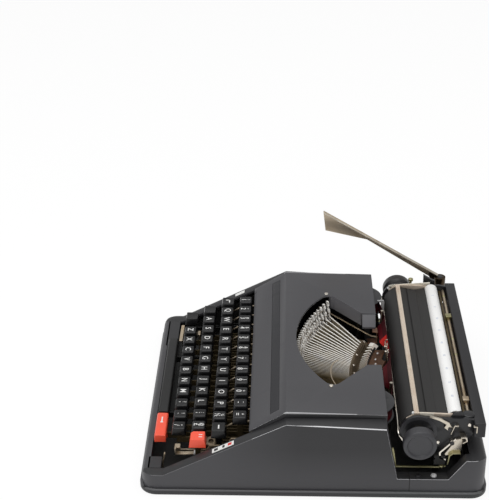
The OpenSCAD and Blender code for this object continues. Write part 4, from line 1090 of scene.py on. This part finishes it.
# Rolled edge along the sheet under the platen, turned down round its ends
guide_end = 124.4
guide_path = ((0, 76.9, 58.4), (104, 76.8, 58.2), (114, 76.2, 58.0), (122, 75.9, 57.6), (guide_end, 76.4, 56.2),
              (guide_end, 78.6, 52.6), (guide_end, 81.6, 47.4), (guide_end, 84.6, 43.4), (121.8, 86.0, 42.4))
made_of("platen_guide", "carriage", "nickel", BRIGHT,
        *[(tube, [(s * x, y, z) for x, y, z in guide_path], 0.85) for s in SIDES])
made_of("ribbon_end_bracket", "machine", "nickel", PALE,
        (plate, [(69.2, 74.2), (75.6, 74.4), (76.4, 71.2), (76.4, 60.8), (74.4, 59.6), (74.4, well_floor),
                 (72.8, well_floor), (72.8, 71.6), (69.4, 71.8)], -85.6, -84.4), round_by=0.2)


# Plated brackets, nuts and screws on the carriage's ends
made_of("carriage_brackets", "carriage", "nickel", NICKEL,
        (plate, [(127.9, 51.9), (117.2, 34.4), (124.0, 35.6), (132.6, 37.4), (133.4, 45.0), (133.1, 52.9)],
         plate_face, 125.8),
        (bent, 126.8, ((131.0, 57.5), (135.5, 57.5), (137.0, 54.0), (133.0, 51.5)), 8.4, 1.0),
        (bent, 125.6, ((122.6, 58.0), (125.7, 67.2), (129.0, 66.8)), 1.8, 0.9),
        (bent, 128.6, ((141.8, 68.6), (145.0, 68.6), (145.0, 62.0)), 2.4, 1.0),
        (turned, [(0.9, 0.0), (0.9, 3.4)], (122.3, 128.6, 66.6), ACROSS, 12), round_by=0.2)
made_of("carriage_caps", "carriage", "black_enamel", ENAMEL,
        (turned, [(1.6, -3.6), (1.6, 0.0), (4.0, 0.0), (5.6, 0.5), (5.6, 2.6), (4.6, 3.4), (0.3, 3.4)],
         (113.9, 138.9, 69.4), UPRIGHT, 28),
        (plate, [(120.9, 69.0), (124.7, 76.7), (131.9, 78.6), (134.6, 72.8), (130.0, 65.8), (124.7, 65.5)],
         118.0, 119.7),
        (plate, [(119.4, 83.4), (128.6, 77.6), (131.5, 76.5), (131.5, 72.0), (119.6, 72.0)], -126.0, -122.3),
        round_by=0.25)
quarter = math.radians(90)
repeated("carriage_plate_screws", screw_shape(1.8, 1.0),
         [((s * 122.5, y, z), (0.0, s * quarter, 0.0), PLAIN)
          for s in (1, -1) for y, z in ((139.2, 66.2), (112.0, 47.0))], "carriage", BRIGHT)
repeated("margin_rail_nuts", screw_shape(2.4, 2.2, False),
         [((x, 140.0, 66.0), (0.0, quarter, 0.0), PLAIN) for x in (-107, -22.5, 6.5, 108)],
         "carriage", OLIVE)


def recess_angle(bm, s):
    """Zinc-plated angle strip that shows under the knob at one end of the recess."""
    x = s * 127.6
    plate(bm, [(68.4, 43.6), (72.3, 43.6), (75.3, 25.0), (75.3, 22.6), (71.8, 22.6)], x - s * 0.6, x + s * 0.6)
    bent(bm, x, ((74.4, 23.4), (116.0, 23.4), (119.8, 24.6)), 2.4, 1.2)
    turned(bm, [(1.2, 0), (2.6, 0), (2.6, 2.2), (1.2, 2.2)], (x, 116.4, 23.4), UPRIGHT, 6, True)


def end_hook(bm, s):
    """The hook over the angle strip, on a pin from the carriage's end."""
    bent(bm, s * 127.1, ((121.2, 26.4), (122.6, 36.0), (125.5, 38.6), (132.4, 38.4)), 3.4, 1.2)
    turned(bm, [(1.0, 0.0), (1.0, 4.0)], (s * 122.3, 123.6, 36.9), (s, 0, 0), 12)


made_of("recess_strip", "machine", "brass", OLIVE, *[(recess_angle, s) for s in SIDES], round_by=0.2)
made_of("carriage_end_hooks", "carriage", "brass", OLIVE, *[(end_hook, s) for s in SIDES], round_by=0.2)


def scale_numbers():
    """Small grey numbers along the white strip."""
    step, height, axis_y, axis_z, lying_r = 2.3, 2.4, 126.8, 70.0, 6.63
    signs = [str(n) for n in range(0, 90, 10)]
    meshes = glyph_meshes({(sign, height) for sign in signs})
    bm = bmesh.new()
    for sign in signs:
        def on_strip(p):
            lean, out = (p.y - 0.4) / lying_r, lying_r + p.z
            x = (int(sign) - 40) * step + p.x
            return Vector((x, axis_y + out * math.sin(lean), axis_z + out * math.cos(lean)))
        add_glyph(bm, meshes[sign, height], on_strip)
    mesh_piece("scale_numbers", bm, "carriage", SCALE_INK)


scale_numbers()


def lever_fold(bm):
    """Folded top edge and thumb rib of the return lever, over its blade."""
    yaw = math.radians(-110.8)
    root, out = Vector((-144.5, 139.5, 0.0)), 0.6
    forward = Vector((math.cos(yaw), math.sin(yaw), 0.0))
    side = Vector((-math.sin(yaw), math.cos(yaw), 0.0))
    strip(bm, [root + forward * along + side * out + Vector((0.0, 0.0, z))
               for along, z in ((2.0, 71.4), (60.0, 94.2), (132.0, 122.6))], side, 4.2, 1.1)


made_of("return_lever_fold", "return_arm", "nickel", NICKEL, (lever_fold,), round_by=0.3, steps=2)


# Stage, light and camera

def make_stage():
    bm = bmesh.new()
    bmesh.ops.create_grid(bm, x_segments=1, y_segments=1, size=5.0)
    mesh = settled_mesh("floor", bm)
    floor = bpy.data.objects.new("floor", mesh)
    floor.location.z = -0.0004
    SCENE.collection.objects.link(floor)
    f = Finish("floor_white", (0.86, 0.86, 0.86), 0.9)
    seen, glossy, through = (f.node("ShaderNodeLightPath", output="Is %s Ray" % kind)
                             for kind in ("Camera", "Glossy", "Transmission"))
    glow = f.node("ShaderNodeEmission", None, {"Color": (1.0, 1.0, 1.0), "Strength": 1.04})
    share = (seen + glossy + through) * 0.84
    mixed = f.node("ShaderNodeMixShader", None, {0: share, 1: Value(f, f.shader.outputs[0]), 2: glow})
    f.tree.links.new(mixed.socket, f.tree.nodes["Material Output"].inputs["Surface"])
    mesh.materials.append(f.material)


def make_world():
    world = bpy.data.worlds.new("studio")
    SCENE.world = world
    world.use_nodes = True
    back = world.node_tree.nodes["Background"]
    back.inputs["Color"].default_value = (1.0, 1.0, 1.0, 1.0)
    back.inputs["Strength"].default_value = 0.55


def lamp(name, at, aim, size, power):
    data = bpy.data.lights.new(name, "AREA")
    data.shape = "RECTANGLE"
    data.size, data.size_y = size
    data.energy = power
    obj = bpy.data.objects.new(name, data)
    obj.location = at
    obj.rotation_euler = (Vector(aim) - Vector(at)).to_track_quat("-Z", "Y").to_euler()
    SCENE.collection.objects.link(obj)


def make_camera():
    """The camera fitted to the photograph's lower view: from the right, a little above."""
    azimuth, elevation, roll = (math.radians(a) for a in (91.752, 27.827, -0.354))
    data = bpy.data.cameras.new("photo_view")
    data.lens, data.sensor_width, data.clip_end = 95.92, 36.0, 30.0
    camera = bpy.data.objects.new("photo_view", data)
    turn = Euler((math.pi / 2 - elevation, 0.0, azimuth)).to_matrix() @ Matrix.Rotation(roll, 3, "Z")
    camera.matrix_world = Matrix.Translation((1.1075, -0.0310, 0.7612)) @ turn.to_4x4()
    SCENE.collection.objects.link(camera)
    SCENE.camera = camera


make_stage()
make_world()
lamp("overhead", (0.1, -0.1, 1.6), (0.0, 0.0, 0.05), (1.6, 1.6), 14.0)
lamp("right_fill", (1.5, -0.6, 0.9), (0.0, 0.0, 0.05), (1.0, 1.0), 2.5)
make_camera()
SCENE.view_settings.view_transform = "Standard"
